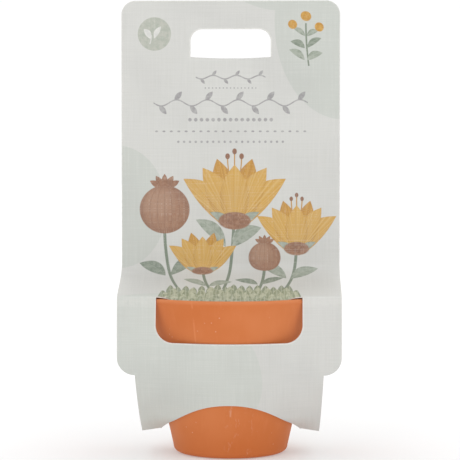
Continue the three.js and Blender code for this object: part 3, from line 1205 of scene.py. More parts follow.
class Bench:
    """Steps with Blender's own operators that every piece shares."""

    @staticmethod
    def clear() -> None:
        """Leaves edit mode and deselects everything."""
        if bpy.context.object is not None and bpy.context.object.mode != "OBJECT":
            bpy.ops.object.mode_set(mode="OBJECT")
        bpy.ops.object.select_all(action="DESELECT")

    @staticmethod
    def pick(piece: Piece) -> None:
        """Selects one piece alone.

        Args:
            piece: The piece.
        """
        Bench.clear()
        piece.select_set(True)
        bpy.context.view_layer.objects.active = piece

    @staticmethod
    def name(name: str) -> Piece:
        """Names the piece that an operator has just added.

        Args:
            name: The piece's name.

        Returns:
            The piece.
        """
        made = bpy.context.object
        made.name = name
        made.data.name = name
        return made

    @staticmethod
    def grid(name: str, columns: int, rows: int) -> Piece:
        """Adds a flat sheet of faces.

        Args:
            name: The piece's name.
            columns: Vertices across.
            rows: Vertices along.

        Returns:
            The sheet, two metres square until it is placed.
        """
        Bench.clear()
        bpy.ops.mesh.primitive_grid_add(x_subdivisions=columns - 1, y_subdivisions=rows - 1, size=2)
        return Bench.name(name)

    @staticmethod
    def points(piece: Piece) -> np.ndarray:
        """Reads every vertex of a piece.

        Args:
            piece: The piece.

        Returns:
            Rows of x, y, z.
        """
        place = np.empty(len(piece.data.vertices) * 3)
        piece.data.vertices.foreach_get("co", place)
        return place.reshape(-1, 3)

    @staticmethod
    def place(piece: Piece, points: np.ndarray) -> None:
        """Puts every vertex of a piece in its place."""
        piece.data.vertices.foreach_set("co", np.asarray(points, float).ravel())
        piece.data.update()

    @staticmethod
    def flat_map(piece: Piece) -> bpy.types.MeshUVLoopLayer:
        """Names a grid's map of the flat sheet, and hands it over."""
        piece.data.uv_layers[0].name = FLAT_MAP
        return piece.data.uv_layers[0]

    @staticmethod
    def delete_faces(piece: Piece, doomed: np.ndarray) -> None:
        """Cuts faces away in edit mode.

        Args:
            piece: The piece to cut.
            doomed: True for each face that goes.
        """
        Bench.pick(piece)
        bpy.ops.object.mode_set(mode="EDIT")
        bpy.ops.mesh.select_mode(type="FACE")
        bpy.ops.mesh.select_all(action="DESELECT")
        bpy.ops.object.mode_set(mode="OBJECT")
        piece.data.polygons.foreach_set("select", doomed)
        bpy.ops.object.mode_set(mode="EDIT")
        bpy.ops.mesh.delete(type="FACE")
        bpy.ops.object.mode_set(mode="OBJECT")

    @staticmethod
    def modify(piece: Piece, kind: str, **settings: object) -> None:
        """Adds a modifier and applies it.

        Args:
            piece: The piece to change.
            kind: The modifier's type.
            settings: Its settings.
        """
        Bench.pick(piece)
        modifier = piece.modifiers.new(kind.lower(), kind)
        for key, setting in settings.items():
            setattr(modifier, key, setting)
        bpy.ops.object.modifier_apply(modifier=modifier.name)

    @staticmethod
    def smooth(piece: Piece, angle: float) -> None:
        """Shades a piece smooth, but not over edges that are sharper than an angle in degrees."""
        Bench.pick(piece)
        bpy.ops.object.shade_smooth_by_angle(angle=math.radians(angle))

    @staticmethod
    def turned(name: str, section: Sequence[Pair], steps: int) -> Piece:
        """Spins a closed wall section about the upright axis.

        Args:
            name: The piece's name.
            section: Radius and height of each corner in mm, counter-clockwise.
            steps: Faces round the axis.

        Returns:
            The closed turned piece.
        """
        Bench.clear()
        bpy.ops.mesh.primitive_circle_add(vertices=len(section), fill_type="NOTHING")
        piece = Bench.name(name)
        Bench.place(piece, np.array([(r * MM, 0, z * MM) for r, z in section]))
        bpy.ops.object.mode_set(mode="EDIT")
        bpy.ops.mesh.select_all(action="SELECT")
        bpy.ops.mesh.spin(steps=steps, angle=2 * math.pi, center=(0, 0, 0), axis=(0, 0, 1))
        bpy.ops.mesh.select_all(action="SELECT")
        bpy.ops.mesh.remove_doubles(threshold=1e-6)
        bpy.ops.mesh.normals_make_consistent(inside=False)
        bpy.ops.object.mode_set(mode="OBJECT")
        return piece

    @staticmethod
    def enter(piece: Piece, node: str, slot: str) -> None:
        """Gives a piece its place in the object.

        Args:
            piece: The finished piece.
            node: The CAD node that it replaces.
            slot: The record's material slot; not used.
        """
        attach(piece, BODY)
        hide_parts(node)


class Lattice:
    """A grid piece whose vertices are known by row and column."""

    def __init__(self, name: str, columns: int, rows: int) -> None:
        """Adds the grid and sorts its vertices.

        Args:
            name: The piece's name.
            columns: Vertices across.
            rows: Vertices along.
        """
        self.piece = Bench.grid(name, columns, rows)
        self.columns = columns
        start = Bench.points(self.piece)
        self.order = np.lexsort((start[:, 0], np.round(start[:, 1], 5)))
        self.spot = np.empty(len(self.order), int)
        self.spot[self.order] = np.arange(len(self.order))

    def lay(self, points: np.ndarray) -> None:
        """Puts the vertices in their places.

        Args:
            points: Row, column and x, y, z in millimetres.
        """
        placed = np.zeros((len(self.order), 3))
        placed[self.order] = points.reshape(-1, 3) * MM
        Bench.place(self.piece, placed)

    def corners(self, face: bpy.types.MeshPolygon) -> list[tuple[int, int]]:
        """Row and column of each corner of a face."""
        return [divmod(int(self.spot[vertex]), self.columns) for vertex in face.vertices]


def ease(t: float) -> float:
    """A smooth rise from 0 to 1."""
    t = min(1.0, max(0.0, t))
    return t * t * (3 - 2 * t)


def between(a: float, b: float, t: float) -> float:
    """The value a share t of the way from a to b."""
    return a + (b - a) * t


# ------------------------------------------------------------------ pot and what it holds


def arc(middle: Pair, reach: Pair, turns: Pair,
        steps: int) -> list[Pair]:
    """Corners on an oval arc in a wall's section, with its two turns in degrees from outwards."""
    angles = [math.radians(between(*turns, i / steps)) for i in range(steps + 1)]
    return [(middle[0] + reach[0] * math.cos(a), middle[1] + reach[1] * math.sin(a)) for a in angles]


@dataclass(frozen=True)
class PlantPot:
    """The moulded pot. Sizes in millimetres."""

    base: float = 27.9
    taper: float = 0.2219
    height: float = 78.2
    wall: float = 1.9
    floor: float = 2.4
    foot: float = 3.0
    recess: float = 1.0
    ring: float = 20.5
    drain: float = 5.0
    lip: float = 1.25
    lip_rise: float = 1.3
    lip_depth: float = 2.6
    corner: float = 4.0
    broken_edge: float = 0.3
    outer_levels: tuple[float, ...] = (8, 14, 20, 26, 32, 38, 44, 50, 56, 62, 68, 73.5)
    inner_levels: tuple[float, ...] = (70, 60, 50, 40, 30, 20)
    floor_ring: float = 15.0
    under_ring: float = 13.0
    turn_steps: int = 144

    def radius(self, z: float) -> float:
        """Outer radius at a height."""
        return self.base + self.taper * z

    def section(self) -> list[Pair]:
        """The wall's closed section.

        Returns:
            Radius and height of each corner, counter-clockwise from the foot ring.
        """
        heel, floor_round = self.base - self.foot, self.floor + self.corner
        lip_low, edge = self.height - self.lip_depth, self.broken_edge
        inner_foot = self.radius(floor_round) - self.wall - self.corner
        lip_middle = self.radius(self.height) - self.lip
        return [
            (self.ring, 0.0),
            *arc((heel, self.foot), (self.radius(self.foot) - heel, self.foot), (-90, 0), 8),
            *((self.radius(z), z) for z in (*self.outer_levels, lip_low)),
            *arc((lip_middle, self.height - self.lip_rise), (self.lip, self.lip_rise), (0, 180), 12),
            *((self.radius(z) - self.wall, z) for z in (lip_low, *self.inner_levels)),
            *arc((inner_foot, floor_round), (self.corner, self.corner), (0, -90), 6),
            (self.floor_ring, self.floor), (self.drain + edge, self.floor),
            (self.drain, self.floor - edge), (self.drain, self.recess + edge),
            (self.drain + edge, self.recess), (self.under_ring, self.recess),
            (self.ring - 3 * edge, self.recess), (self.ring - 2 * edge, self.recess - 0.2),
        ]

    def build(self) -> Piece:
        """Models the pot.

        Returns:
            The finished piece.
        """
        piece = Bench.turned("plant_pot", self.section(), self.turn_steps)
        Bench.smooth(piece, 50)
        piece.data.materials.append(PotPlastic().material())
        Bench.enter(piece, "pot", "terracotta_plastic")
        return piece


@dataclass(frozen=True)
class CoirDisc:
    """The pressed coir disc on the pot's floor. Sizes in millimetres."""

    radius: float = 24.0
    low: float = 2.5
    height: float = 11.0
    edge: float = 1.6
    rough_side: float = 0.35
    rough_face: float = 0.3
    face_depth: float = 0.5
    smooth_middle: float = 1.0
    seed: int = 7

    def build(self) -> Piece:
        """Models the disc with a crumbly skin.

        Returns:
            The finished piece.
        """
        Bench.clear()
        middle = (self.low + self.height / 2) * MM
        bpy.ops.mesh.primitive_cylinder_add(vertices=72, radius=self.radius * MM, depth=self.height * MM,
                                            location=(0, 0, middle), end_fill_type="TRIFAN")
        piece = Bench.name("coir_plug")
        bpy.ops.object.transform_apply(location=True, rotation=True, scale=True)
        bpy.ops.object.mode_set(mode="EDIT")
        bpy.ops.mesh.select_all(action="SELECT")
        bpy.ops.mesh.subdivide(number_cuts=5)
        bpy.ops.object.mode_set(mode="OBJECT")
        self.crumble(piece)
        Bench.smooth(piece, 60)
        piece.data.materials.append(CoirFibre().material())
        Bench.enter(piece, "coir_disc", "coir")
        return piece

    def crumble(self, piece: Piece) -> None:
        """Rounds the rim and roughens the skin inwards, with a fixed draw.

        Args:
            piece: The finely divided disc.
        """
        draw = np.random.default_rng(self.seed)
        points = Bench.points(piece) / MM
        reach = np.hypot(points[:, 0], points[:, 1])
        middle, half = self.low + self.height / 2, self.height / 2
        over = np.clip(reach - (self.radius - self.edge), 0, None)
        lift = np.clip(np.abs(points[:, 2] - middle) - (half - self.edge), 0, None)
        length = np.maximum(np.hypot(over, lift), 1e-9)
        pull = np.where(length > self.edge, self.edge / length, 1.0)
        target = np.where(over > 0, self.radius - self.edge + over * pull, reach)
        target -= draw.random(len(points)) * self.rough_side * (reach > self.smooth_middle)
        scale = np.where(reach > 1e-6, target / np.maximum(reach, 1e-6), 1.0)
        points[:, :2] *= scale[:, None]
        sign = np.sign(points[:, 2] - middle)
        rim = middle + sign * (half - self.edge + lift * pull)
        points[:, 2] = np.where(lift > 0, rim, points[:, 2])
        on_face = np.abs(points[:, 2] - middle) > half - self.face_depth
        points[:, 2] -= sign * draw.random(len(points)) * self.rough_face * on_face
        Bench.place(piece, points * MM)


@dataclass(frozen=True)
class SeedSachet:
    """The paper sachet that lies on the disc. Sizes in millimetres."""

    length: float = 44.0
    width: float = 33.0
    thickness: float = 2.6
    seam: float = 0.5
    seam_reach: Pair = (4.0, 3.0)
    turn: float = 18.0
    middle: float = 14.9
    wrinkle: float = 0.22
    wrinkle_way: Pair = (0.4, 1.7)
    columns: int = 45
    rows: int = 34

    def build(self) -> Piece:
        """Models the filled sachet with flat seams.

        Returns:
            The finished piece.
        """
        piece = Bench.grid("seed_packet", self.columns, self.rows)
        flat = Bench.points(piece)[:, :2] * (self.length / 2, self.width / 2)
        layer = Bench.flat_map(piece)
        for loop in piece.data.loops:
            layer.data[loop.index].uv = flat[loop.vertex_index]
        Bench.place(piece, np.c_[flat, np.zeros(len(flat))] * MM)
        Bench.modify(piece, "SOLIDIFY", thickness=self.seam * MM, offset=0)
        self.fill(piece)
        Bench.smooth(piece, 50)
        piece.data.materials.append(SachetPaper(self.length).material())
        Bench.enter(piece, "seed_sachet", "sachet_paper")
        return piece

    def fill(self, piece: Piece) -> None:
        """Swells the middle, wrinkles it by the seams, and lays the sachet in place.

        Args:
            piece: The flat sachet, as thick as its seams.
        """
        points = Bench.points(piece) / MM
        x, y = points[:, 0].copy(), points[:, 1].copy()
        u = np.minimum(1, np.abs(x) / (self.length / 2 - self.seam_reach[0]))
        v = np.minimum(1, np.abs(y) / (self.width / 2 - self.seam_reach[1]))
        swell = (1 - u**4) * (1 - v**4)
        wave = 0.5 + 0.5 * np.sin(y * self.wrinkle_way[1] + x * self.wrinkle_way[0])
        ripple = 1 - self.wrinkle * (1 - swell) * swell * 4 * wave
        grown = self.seam + (self.thickness - self.seam) * swell * ripple
        a = math.radians(self.turn)
        points[:, 0] = x * math.cos(a) - y * math.sin(a)
        points[:, 1] = x * math.sin(a) + y * math.cos(a)
        points[:, 2] = points[:, 2] * (grown / self.seam) + self.middle
        Bench.place(piece, points * MM)


# ------------------------------------------------------------------ card carrier


class Zone(Enum):
    """Groups of columns from the middle of the board to its side."""

    MIDDLE = "middle"
    SIDE = "side"
    WING = "wing"


class Part(Enum):
    """Stretches of a panel from its bottom fold to its top edge."""

    LOWER = "lower"
    STRUT = "strut"
    SLOPE = "slope"
    HEADER = "header"


EVERY_ZONE = (Zone.MIDDLE, Zone.SIDE, Zone.WING)
BESIDE_HOLE = (Zone.SIDE, Zone.WING)
INSIDE_WING = (Zone.MIDDLE, Zone.SIDE)


@dataclass(frozen=True)
class Row:
    """One row of a panel's sheet, with the zones that have faces above it.

    The middle zone ends at middle and the side zone at inner. The level gives a point's height from its
    place across and its zone, and the share is the row's way up the slope.
    """

    part: Part
    middle: float
    inner: float
    level: Callable[[float, Zone], float]
    faces: tuple[Zone, ...]
    share: float = 0.0

    def span(self, zone: Zone, half: float) -> Pair:
        """Where a zone begins and ends across.

        Args:
            zone: The zone.
            half: Half of the board's width.

        Returns:
            Its two ends, counted from the middle.
        """
        edges = (0.0, self.middle, self.inner, half)
        first = EVERY_ZONE.index(zone)
        return edges[first], edges[first + 1]


@dataclass(frozen=True)
class Panel:
    """The front panel by row and column: its points with y forward, and their places on the flat board."""

    points: np.ndarray
    flat: np.ndarray
    rows: list[Row]
    zones: list[Zone]

    @property
    def crease(self) -> int:
        """The crease's row."""
        return next(i for i, row in enumerate(self.rows) if row.part is Part.SLOPE)


@dataclass
class CardCarrier:
    """The folded board. All sizes in millimetres; forward is towards -Y."""

    FRONT_FACE: ClassVar[int] = 0
    BACK_FACE: ClassVar[int] = 1
    FACES: ClassVar[int] = 2        # the materials' order is two outer faces, two inner ones, two edges
    FOLD_ROWS: ClassVar[int] = 3    # rows on each side of a fold that carry its radius
    SAMPLES: ClassVar[int] = 80     # steps in which a curve's length is measured

    pot: PlantPot

    # the board and the header
    board: float = 0.55
    glue: float = 0.01
    gap: float = 0.3
    half: float = 54.5
    top: float = 225.05
    header_corner: float = 7.0

    # the handle hole
    handle_half: float = 20.0
    handle_bottom: float = 197.05
    handle_top: float = 210.9
    handle_corner: float = 6.0
    handle_bow: float = 0.75

    # the slope from the bend under the header to the crease over the pot's rim
    bend_top: float = 95.2
    bend_half: float = 30.0
    crease_forward: float = 28.6
    crease_z: float = 79.1
    crease_slope: float = 24.0
    crease_pull: float = 12.0
    bend_pull: float = 7.5
    slope_length: float = 36.0

    # the slot for the rim, and the tongue that slips inside it
    slot_half: float = 35.5
    slot_bottom: float = 57.4
    slot_corner: float = 8.4
    hedge_half: float = 39.0
    tongue_runs: tuple[float, ...] = (0.5, 1.0, 1.6, 4.2, 7.0)
    tongue_reach: Pair = (44.1, 42.3)
    tongue_settle: float = 1.8

    # the lower panel: its wings at the sides, and its bow in front of the pot
    wing_forward: float = 30.0
    wing_inner: float = 45.8
    shoulder: float = 41.2
    full_depth: float = 48.2
    relax: float = 58.2
    relax_power: float = 1.5
    bow_half: float = 51.0
    bow_rise: float = 8.5

    # the bottom fold and its round cut-out
    fold_z: float = 10.4
    fold_half: float = 44.4
    fold_radius: float = 1.1
    fold_climb: float = 0.63
    fold_droop: float = 0.75
    droop_high: float = 20.0
    droop_from: float = 20.0
    droop_over: float = 12.0
    cut_half: float = 35.0
    arch_top: float = 27.2
    arch_power: float = 2.2

    # how finely the sheet is divided, from the middle out and from the fold up
    flat_steps: int = 12
    corner_steps: int = 12
    side_steps: int = 6
    wing_steps: int = 10
    lower_steps: int = 24
    shoulder_steps: int = 14
    strut_steps: int = 7
    slope_steps: int = 22
    neck_steps: int = 12
    top_steps: int = 8
    crowd_at_fold: float = 1.1
    crowd_at_bend: float = 0.9

    def __post_init__(self) -> None:
        """Works out what the sizes above lead to."""
        slope = math.radians(self.crease_slope)
        self.layer = self.board / 2 + self.glue
        self.slope_way = Vector((math.cos(slope), -math.sin(slope)))
        start, end = Vector((self.crease_forward, self.crease_z)), Vector((self.layer, self.bend_top))
        pulls = start - self.crease_pull * self.slope_way, end - Vector((0, self.bend_pull))
        self.curve = (start, *pulls, end)
        shares = [i / self.SAMPLES for i in range(self.SAMPLES + 1)]
        self.slope_lengths = (shares, self.lengths([self.slope_point(t) for t in shares[::-1]])[::-1])
        heights = np.linspace(self.crease_z, self.fold_z, 3 * self.SAMPLES + 1)
        down = self.lengths([(self.wing_depth(z), z) for z in heights])
        self.lower_lengths = (heights[::-1], down[::-1])
        self.crease_level = self.bend_top - self.slope_lengths[1][0]
        self.near_fold = [self.fold_radius * i / self.FOLD_ROWS for i in range(1, self.FOLD_ROWS + 1)]

    # ---- the surface

    @staticmethod
    def lengths(path: Sequence[Pair]) -> np.ndarray:
        """Length of a path up to each of its points."""
        return np.r_[0, np.cumsum(np.hypot(*np.diff(np.array(path), axis=0).T))]

    def slope_point(self, t: float) -> Pair:
        """A point on the slope between the crease and the header.

        Args:
            t: 0 at the crease, 1 at the header.

        Returns:
            Its place forward and its height.
        """
        a, b, c, d = self.curve
        s = 1 - t
        point = s**3 * a + 3 * s * s * t * b + 3 * s * t * t * c + t**3 * d
        return point.x, point.y

    def wing_depth(self, z: float) -> float:
        """How far forward the wings stand.

        Args:
            z: Height.

        Returns:
            The distance forward of the middle plane.
        """
        if z < self.full_depth:
            share = (z - self.fold_z) / (self.full_depth - self.fold_z)
            return self.wing_forward * math.sin(math.pi / 2 * share)
        share = min(1.0, max(0.0, (z - self.relax) / (self.crease_z - self.relax)))
        return between(self.wing_forward, self.crease_forward, share**self.relax_power)

    def lower_depth(self, x: float, z: float) -> float:
        """How far forward the panel below the crease stands, with its bow in front of the pot.

        Args:
            x: Place across.
            z: Height.

        Returns:
            The distance forward of the middle plane.
        """
        wing = self.wing_depth(z)
        touch = self.pot.radius(z) + self.gap + self.board / 2
        relaxed = ease((z - self.relax) / (self.crease_z - self.relax))
        fade = ease((z - self.fold_z) / self.bow_rise) * (1 - relaxed)
        bow = math.cos(math.pi / 2 * x / self.bow_half) ** 2 if abs(x) < self.bow_half else 0.0
        return wing + (touch - wing) * fade * bow

    def depth(self, row: Row, x: float, z: float) -> float:
        """How far forward a point of a panel stands.

        Args:
            row: The point's row.
            x: Its place across.
            z: Its height.

        Returns:
            The distance forward of the middle plane.
        """
        if row.part is Part.SLOPE:
            return self.slope_point(row.share)[0]
        return self.layer if row.part is Part.HEADER else self.lower_depth(x, z)

    def droop(self, x: float, z: float) -> float:
        """How far the curved bottom fold lifts the board near it.

        Args:
            x: Place across.
            z: Height.

        Returns:
            The lift, below zero at the fold's outer ends.
        """
        middle = (self.cut_half + self.fold_half) / 2
        tilt = max(-1.0, min(1.0, (middle - abs(x)) / (self.fold_half - middle)))
        fade = max(0.0, 1 - (z - self.fold_z) / self.droop_high)
        return self.fold_droop * tilt * ease((abs(x) - self.droop_from) / self.droop_over) * fade

    def tongue_half(self, run: float) -> float:
        """Half width of the tongue, so that it slips inside the rim.

        Args:
            run: Way down the slope from the crease.

        Returns:
            Half of the width there.
        """
        near, far = self.tongue_reach
        reach = between(near, far, min(1.0, run / self.tongue_settle))
        return math.sqrt(reach**2 - (self.crease_forward + run * self.slope_way.x) ** 2)

    # ---- the edges

    @staticmethod
    def rounded(x: float, flat: float, radius: float, level: float, way: int) -> float:
        """An edge that is level up to flat and then turns with a radius."""
        over = min(radius, max(0.0, abs(x) - flat))
        return level + way * (radius - math.sqrt(radius**2 - over**2))

    def arch_edge(self, x: float, half: float) -> float:
        """Height of the round cut-out's edge."""
        return between(self.fold_z, self.arch_top, max(0.0, 1 - abs(x / half) ** self.arch_power))

    def slot_edge(self, x: float) -> float:
        """Height of the slot's bottom edge."""
        return self.rounded(x, self.slot_half - self.slot_corner, self.slot_corner, self.slot_bottom, 1)

    def shoulder_edge(self, x: float) -> float:
        """Height of the wing's lower edge."""
        return self.rounded(x, self.wing_inner, self.half - self.wing_inner, self.shoulder, 1)

    def header_edge(self, x: float) -> float:
        """Height of the header's top edge."""
        return self.rounded(x, self.half - self.header_corner, self.header_corner, self.top, -1)

    def handle_top_edge(self, x: float) -> float:
        """Height of the handle hole's top edge."""
        return self.rounded(x, self.handle_half - self.handle_corner, self.handle_corner, self.handle_top, -1)

    def handle_bottom_edge(self, x: float) -> float:
        """Height of the handle hole's bottom edge."""
        return self.handle_bottom - self.handle_bow * (1 - (x / self.handle_half) ** 2)

    # ---- the rows and columns

    def half_columns(self) -> list[tuple[Zone, float]]:
        """Spreads the columns from the middle to the side.

        Returns:
            The zone and the share of its zone for each column.
        """
        flat = 1 - self.slot_corner / self.slot_half
        made = [(Zone.MIDDLE, flat * i / self.flat_steps) for i in range(self.flat_steps)]
        for i in range(self.corner_steps):
            made.append((Zone.MIDDLE, flat + (1 - flat) * math.sin(math.pi / 2 * i / self.corner_steps)))
        made += [(Zone.SIDE, i / self.side_steps) for i in range(self.side_steps)]
        made += [(Zone.WING, math.sin(math.pi / 2 * i / self.wing_steps)) for i in range(self.wing_steps + 1)]
        return made

    def panel_rows(self) -> list[Row]:
        """Rows of one panel from the bottom fold to the top of the header."""
        return self.lower_rows() + self.strut_rows() + self.slope_rows() + self.neck_rows() + self.top_rows()

    def lower_rows(self) -> list[Row]:
        """Rows between the bottom fold and the top of the slot's corners.

        Returns:
            The rows in order.
        """
        shoulder_z = self.slot_bottom + self.slot_corner
        levels = [self.fold_z] + [self.fold_z + self.fold_climb * run for run in self.near_fold]
        for share in self.shares(self.lower_steps, self.crowd_at_fold):
            levels.append(between(self.fold_z + self.fold_climb * self.fold_radius, self.shoulder, share))
        levels += [between(self.shoulder, shoulder_z, share) for share in self.shares(self.shoulder_steps)]
        rows = [self.lower_row(level, shoulder_z) for level in levels]
        return rows[:-1] + [replace(rows[-1], faces=BESIDE_HOLE)]

    def lower_row(self, side_level: float, shoulder_z: float) -> Row:
        """One row between the bottom fold and the slot.

        Args:
            side_level: Its height beside the cut-outs.
            shoulder_z: Height where the slot's corners end.

        Returns:
            The row.
        """
        share = (side_level - self.fold_z) / (shoulder_z - self.fold_z)
        rise = min(1.0, (side_level - self.fold_z) / (self.shoulder - self.fold_z))
        half = between(self.cut_half, self.slot_half, share)
        over = (side_level - self.shoulder) / (shoulder_z - self.shoulder)
        above_shoulder = over > -1e-9

        def level(x: float, zone: Zone) -> float:
            """Height of the row.

            Args:
                x: Place across.
                zone: The column's zone.

            Returns:
                The height there.
            """
            if zone is Zone.MIDDLE:
                return between(self.arch_edge(x, half), self.slot_edge(x * self.slot_half / half), share)
            if zone is Zone.WING and above_shoulder:
                return between(self.shoulder_edge(x), shoulder_z, max(0.0, over))
            return side_level

        inner = between(self.fold_half, self.wing_inner, rise)
        return Row(Part.LOWER, half, inner, level, EVERY_ZONE if above_shoulder else INSIDE_WING)

    def strut_rows(self) -> list[Row]:
        """Rows of the two struts beside the slot.

        Returns:
            The rows in order.
        """
        low, high = self.slot_bottom + self.slot_corner, self.crease_z - self.fold_radius
        levels = [between(low, high, share) for share in self.shares(self.strut_steps)]
        levels += [self.crease_z - run for run in self.near_fold[-2::-1]]
        return [Row(Part.STRUT, self.slot_half, self.wing_inner, lambda x, zone, z=z: z, BESIDE_HOLE)
                for z in levels]

    def slope_rows(self) -> list[Row]:
        """Rows of the slope from the crease to the bend.

        Returns:
            The rows in order.
        """
        near = [run / self.slope_length for run in self.near_fold]
        far = [between(near[-1], 1, share) for share in self.shares(self.slope_steps, self.crowd_at_bend)]
        rows = []
        for t in [0.0] + near + far:
            middle = between(self.slot_half, self.bend_half, t)
            inner = between(self.wing_inner, self.half - self.header_corner, t)
            height = self.slope_point(t)[1] if t else self.crease_z
            rows.append(Row(Part.SLOPE, middle, inner, lambda x, zone, z=height: z, EVERY_ZONE, t))
        return rows

    def neck_rows(self) -> list[Row]:
        """Rows of the header up to the middle of the handle hole's sides.

        Returns:
            The rows in order.
        """

        def level(t: float, x: float, zone: Zone) -> float:
            """Height of the row a share t of the way from the bend to the handle hole."""
            high = self.handle_bottom_edge(x) if zone is Zone.MIDDLE else self.handle_bottom
            return between(self.bend_top, high, t)

        inner = self.half - self.header_corner
        rows = []
        for t in self.shares(self.neck_steps):
            faces = EVERY_ZONE if t < 1 else BESIDE_HOLE
            rows.append(Row(Part.HEADER, between(self.bend_half, self.handle_half, t), inner,
                            partial(level, t), faces))
        beside = between(self.handle_bottom, self.handle_top - self.handle_corner, 0.5)
        return rows + [Row(Part.HEADER, self.handle_half, inner, lambda x, zone: beside, BESIDE_HOLE)]

    def top_rows(self) -> list[Row]:
        """Rows of the header from the handle hole to its top edge.

        Returns:
            The rows in order.
        """

        def level(t: float, x: float, zone: Zone) -> float:
            """Height of the row a share t of the way from the handle hole to the top edge."""
            low = self.handle_top_edge(x) if zone is Zone.MIDDLE else self.handle_top - self.handle_corner
            return between(low, self.header_edge(x), t)

        inner = self.half - self.header_corner
        return [Row(Part.HEADER, self.handle_half, inner, partial(level, t), EVERY_ZONE)
                for t in [0.0] + self.shares(self.top_steps)]

    @staticmethod
    def shares(steps: int, power: float = 1.0) -> list[float]:
        """Shares up to 1, closer together at the start with a power above 1 and at the end below it."""
        return [(i / steps) ** power for i in range(1, steps + 1)]

    # ---- the panel

    def panel(self) -> Panel:
        """Places every point of the front panel.

        Returns:
            The panel.
        """
        half_columns = self.half_columns()
        steps = len(half_columns) - 1
        zones = [half_columns[min(abs(j - steps), abs(j + 1 - steps))][0] for j in range(2 * steps)]
        rows = self.panel_rows()
        points = np.zeros((len(rows), 2 * steps + 1, 3))
        flat = np.zeros((len(rows), 2 * steps + 1, 2))
        for i, row in enumerate(rows):
            for j in range(2 * steps + 1):
                zone, share = half_columns[abs(j - steps)]
                x = math.copysign(between(*row.span(zone, self.half), share), j - steps)
                z = row.level(x, zone)
                lift = self.droop(x, z) if row.part is Part.LOWER else 0.0
                points[i, j] = (x, self.depth(row, x, z), z + lift)
                flat[i, j] = (x, self.flat_level(row, z))
        panel = Panel(points, flat, rows, zones)
        self.add_tongue(panel)
        return panel

    def flat_level(self, row: Row, z: float) -> float:
        """Place along the flat board.

        Args:
            row: The point's row.
            z: The point's height.

        Returns:
            Its level on the flat board.
        """
        if row.part is Part.HEADER:
            return z
        if row.part is Part.SLOPE:
            return self.bend_top - float(np.interp(row.share, *self.slope_lengths))
        return self.lower_flat_level(z)

    def lower_flat_level(self, z: float) -> float:
        """Place along the flat board of a height below the crease."""
        return self.crease_level - float(np.interp(z, *self.lower_lengths))

    def add_tongue(self, panel: Panel) -> None:
        """Moves the spare middle points under the crease so that they carry the slope into the pot.

        Args:
            panel: The panel, whose points and flat places are changed.
        """
        middle, reach = panel.points.shape[1] // 2, self.tongue_columns()
        columns = slice(middle - reach, middle + reach + 1)
        across = panel.points[panel.crease, columns, 0].copy()
        for down, run in enumerate(self.tongue_runs, 1):
            x = across * self.tongue_half(run) / across.max()
            forward, height = Vector((self.crease_forward, self.crease_z)) + run * self.slope_way
            row = panel.crease - down
            panel.points[row, columns] = np.c_[x, np.full(len(x), forward), np.full(len(x), height)]
            panel.flat[row, columns] = np.c_[x, np.full(len(x), self.crease_level - run)]

    def tongue_columns(self) -> int:
        """Columns from the middle that belong to the tongue."""
        return self.flat_steps + self.corner_steps * 2 // 3

    # ---- the piece

    def build(self) -> Piece:
        """Models the whole board.

        Returns:
            The finished piece.
        """
        panel = self.panel()
        rows, width = panel.points.shape[:2]
        back, front = panel.points[::-1].copy(), panel.points[1:].copy()
        front[:, :, 1] *= -1
        strip = np.concatenate([back, front])
        fold = rows - 1
        self.soften_folds(strip, (fold - panel.crease, fold, fold + panel.crease))

        sheet = Lattice("card_carrier_board", width, len(strip))
        sheet.lay(strip)
        self.lay_flat_map(sheet, panel, fold)
        self.cut(sheet, panel, fold)
        piece = sheet.piece
        self.dress(piece)
        Bench.modify(piece, "SOLIDIFY", thickness=self.board * MM, offset=0, use_even_offset=True,
                     material_offset=self.FACES, material_offset_rim=2 * self.FACES)
        Bench.smooth(piece, 34)
        Bench.enter(piece, "card_carrier", "card")
        return piece

    def soften_folds(self, strip: np.ndarray, folds: Sequence[int]) -> None:
        """Turns sharp folds into small radii where the board really folds, beside the middle columns.

        Args:
            strip: All points of the strip, changed in place.
            folds: Rows of the folds.
        """
        width, reach = strip.shape[1], self.FOLD_ROWS
        columns = np.abs(np.arange(width) - width // 2) >= self.flat_steps + self.corner_steps
        for fold in folds:
            before, middle, after = strip[fold - reach].copy(), strip[fold].copy(), strip[fold + reach].copy()
            for step in range(1 - reach, reach):
                t = (step + reach) / (2 * reach)
                curve = (1 - t) ** 2 * before + 2 * t * (1 - t) * middle + t * t * after
                strip[fold + step, columns] = curve[columns]

    def lay_flat_map(self, sheet: Lattice, panel: Panel, fold: int) -> None:
        """Gives every face corner its place on the flat board, and every face its side of the strip.

        Args:
            sheet: The placed sheet.
            panel: The front panel.
            fold: The bottom fold's row in the sheet.
        """
        back = panel.flat[::-1] * (-1, 1)
        layer = Bench.flat_map(sheet.piece)
        for face in sheet.piece.data.polygons:
            corners = sheet.corners(face)
            on_back = sum(row for row, _ in corners) / len(corners) < fold
            face.material_index = self.BACK_FACE if on_back else self.FRONT_FACE
            for loop, (row, column) in zip(face.loop_indices, corners):
                layer.data[loop].uv = back[row, column] if on_back else panel.flat[row - fold, column]

    def cut(self, sheet: Lattice, panel: Panel, fold: int) -> None:
        """Cuts the holes and the outline out of the sheet.

        Args:
            sheet: The placed sheet.
            panel: The front panel.
            fold: The bottom fold's row in the sheet.
        """
        crease, middle = panel.crease, sheet.columns // 2
        doomed = np.zeros(len(sheet.piece.data.polygons), bool)
        for face in sheet.piece.data.polygons:
            corners = sheet.corners(face)
            low = min(row for row, _ in corners)
            row = low - fold if low >= fold else fold - 1 - low
            zone = panel.zones[min(column for _, column in corners)]
            widest = max(abs(column - middle) for _, column in corners)
            in_tongue = widest <= self.tongue_columns() and crease - len(self.tongue_runs) <= row < crease
            doomed[face.index] = not in_tongue and zone not in panel.rows[row].faces
        Bench.delete_faces(sheet.piece, doomed)

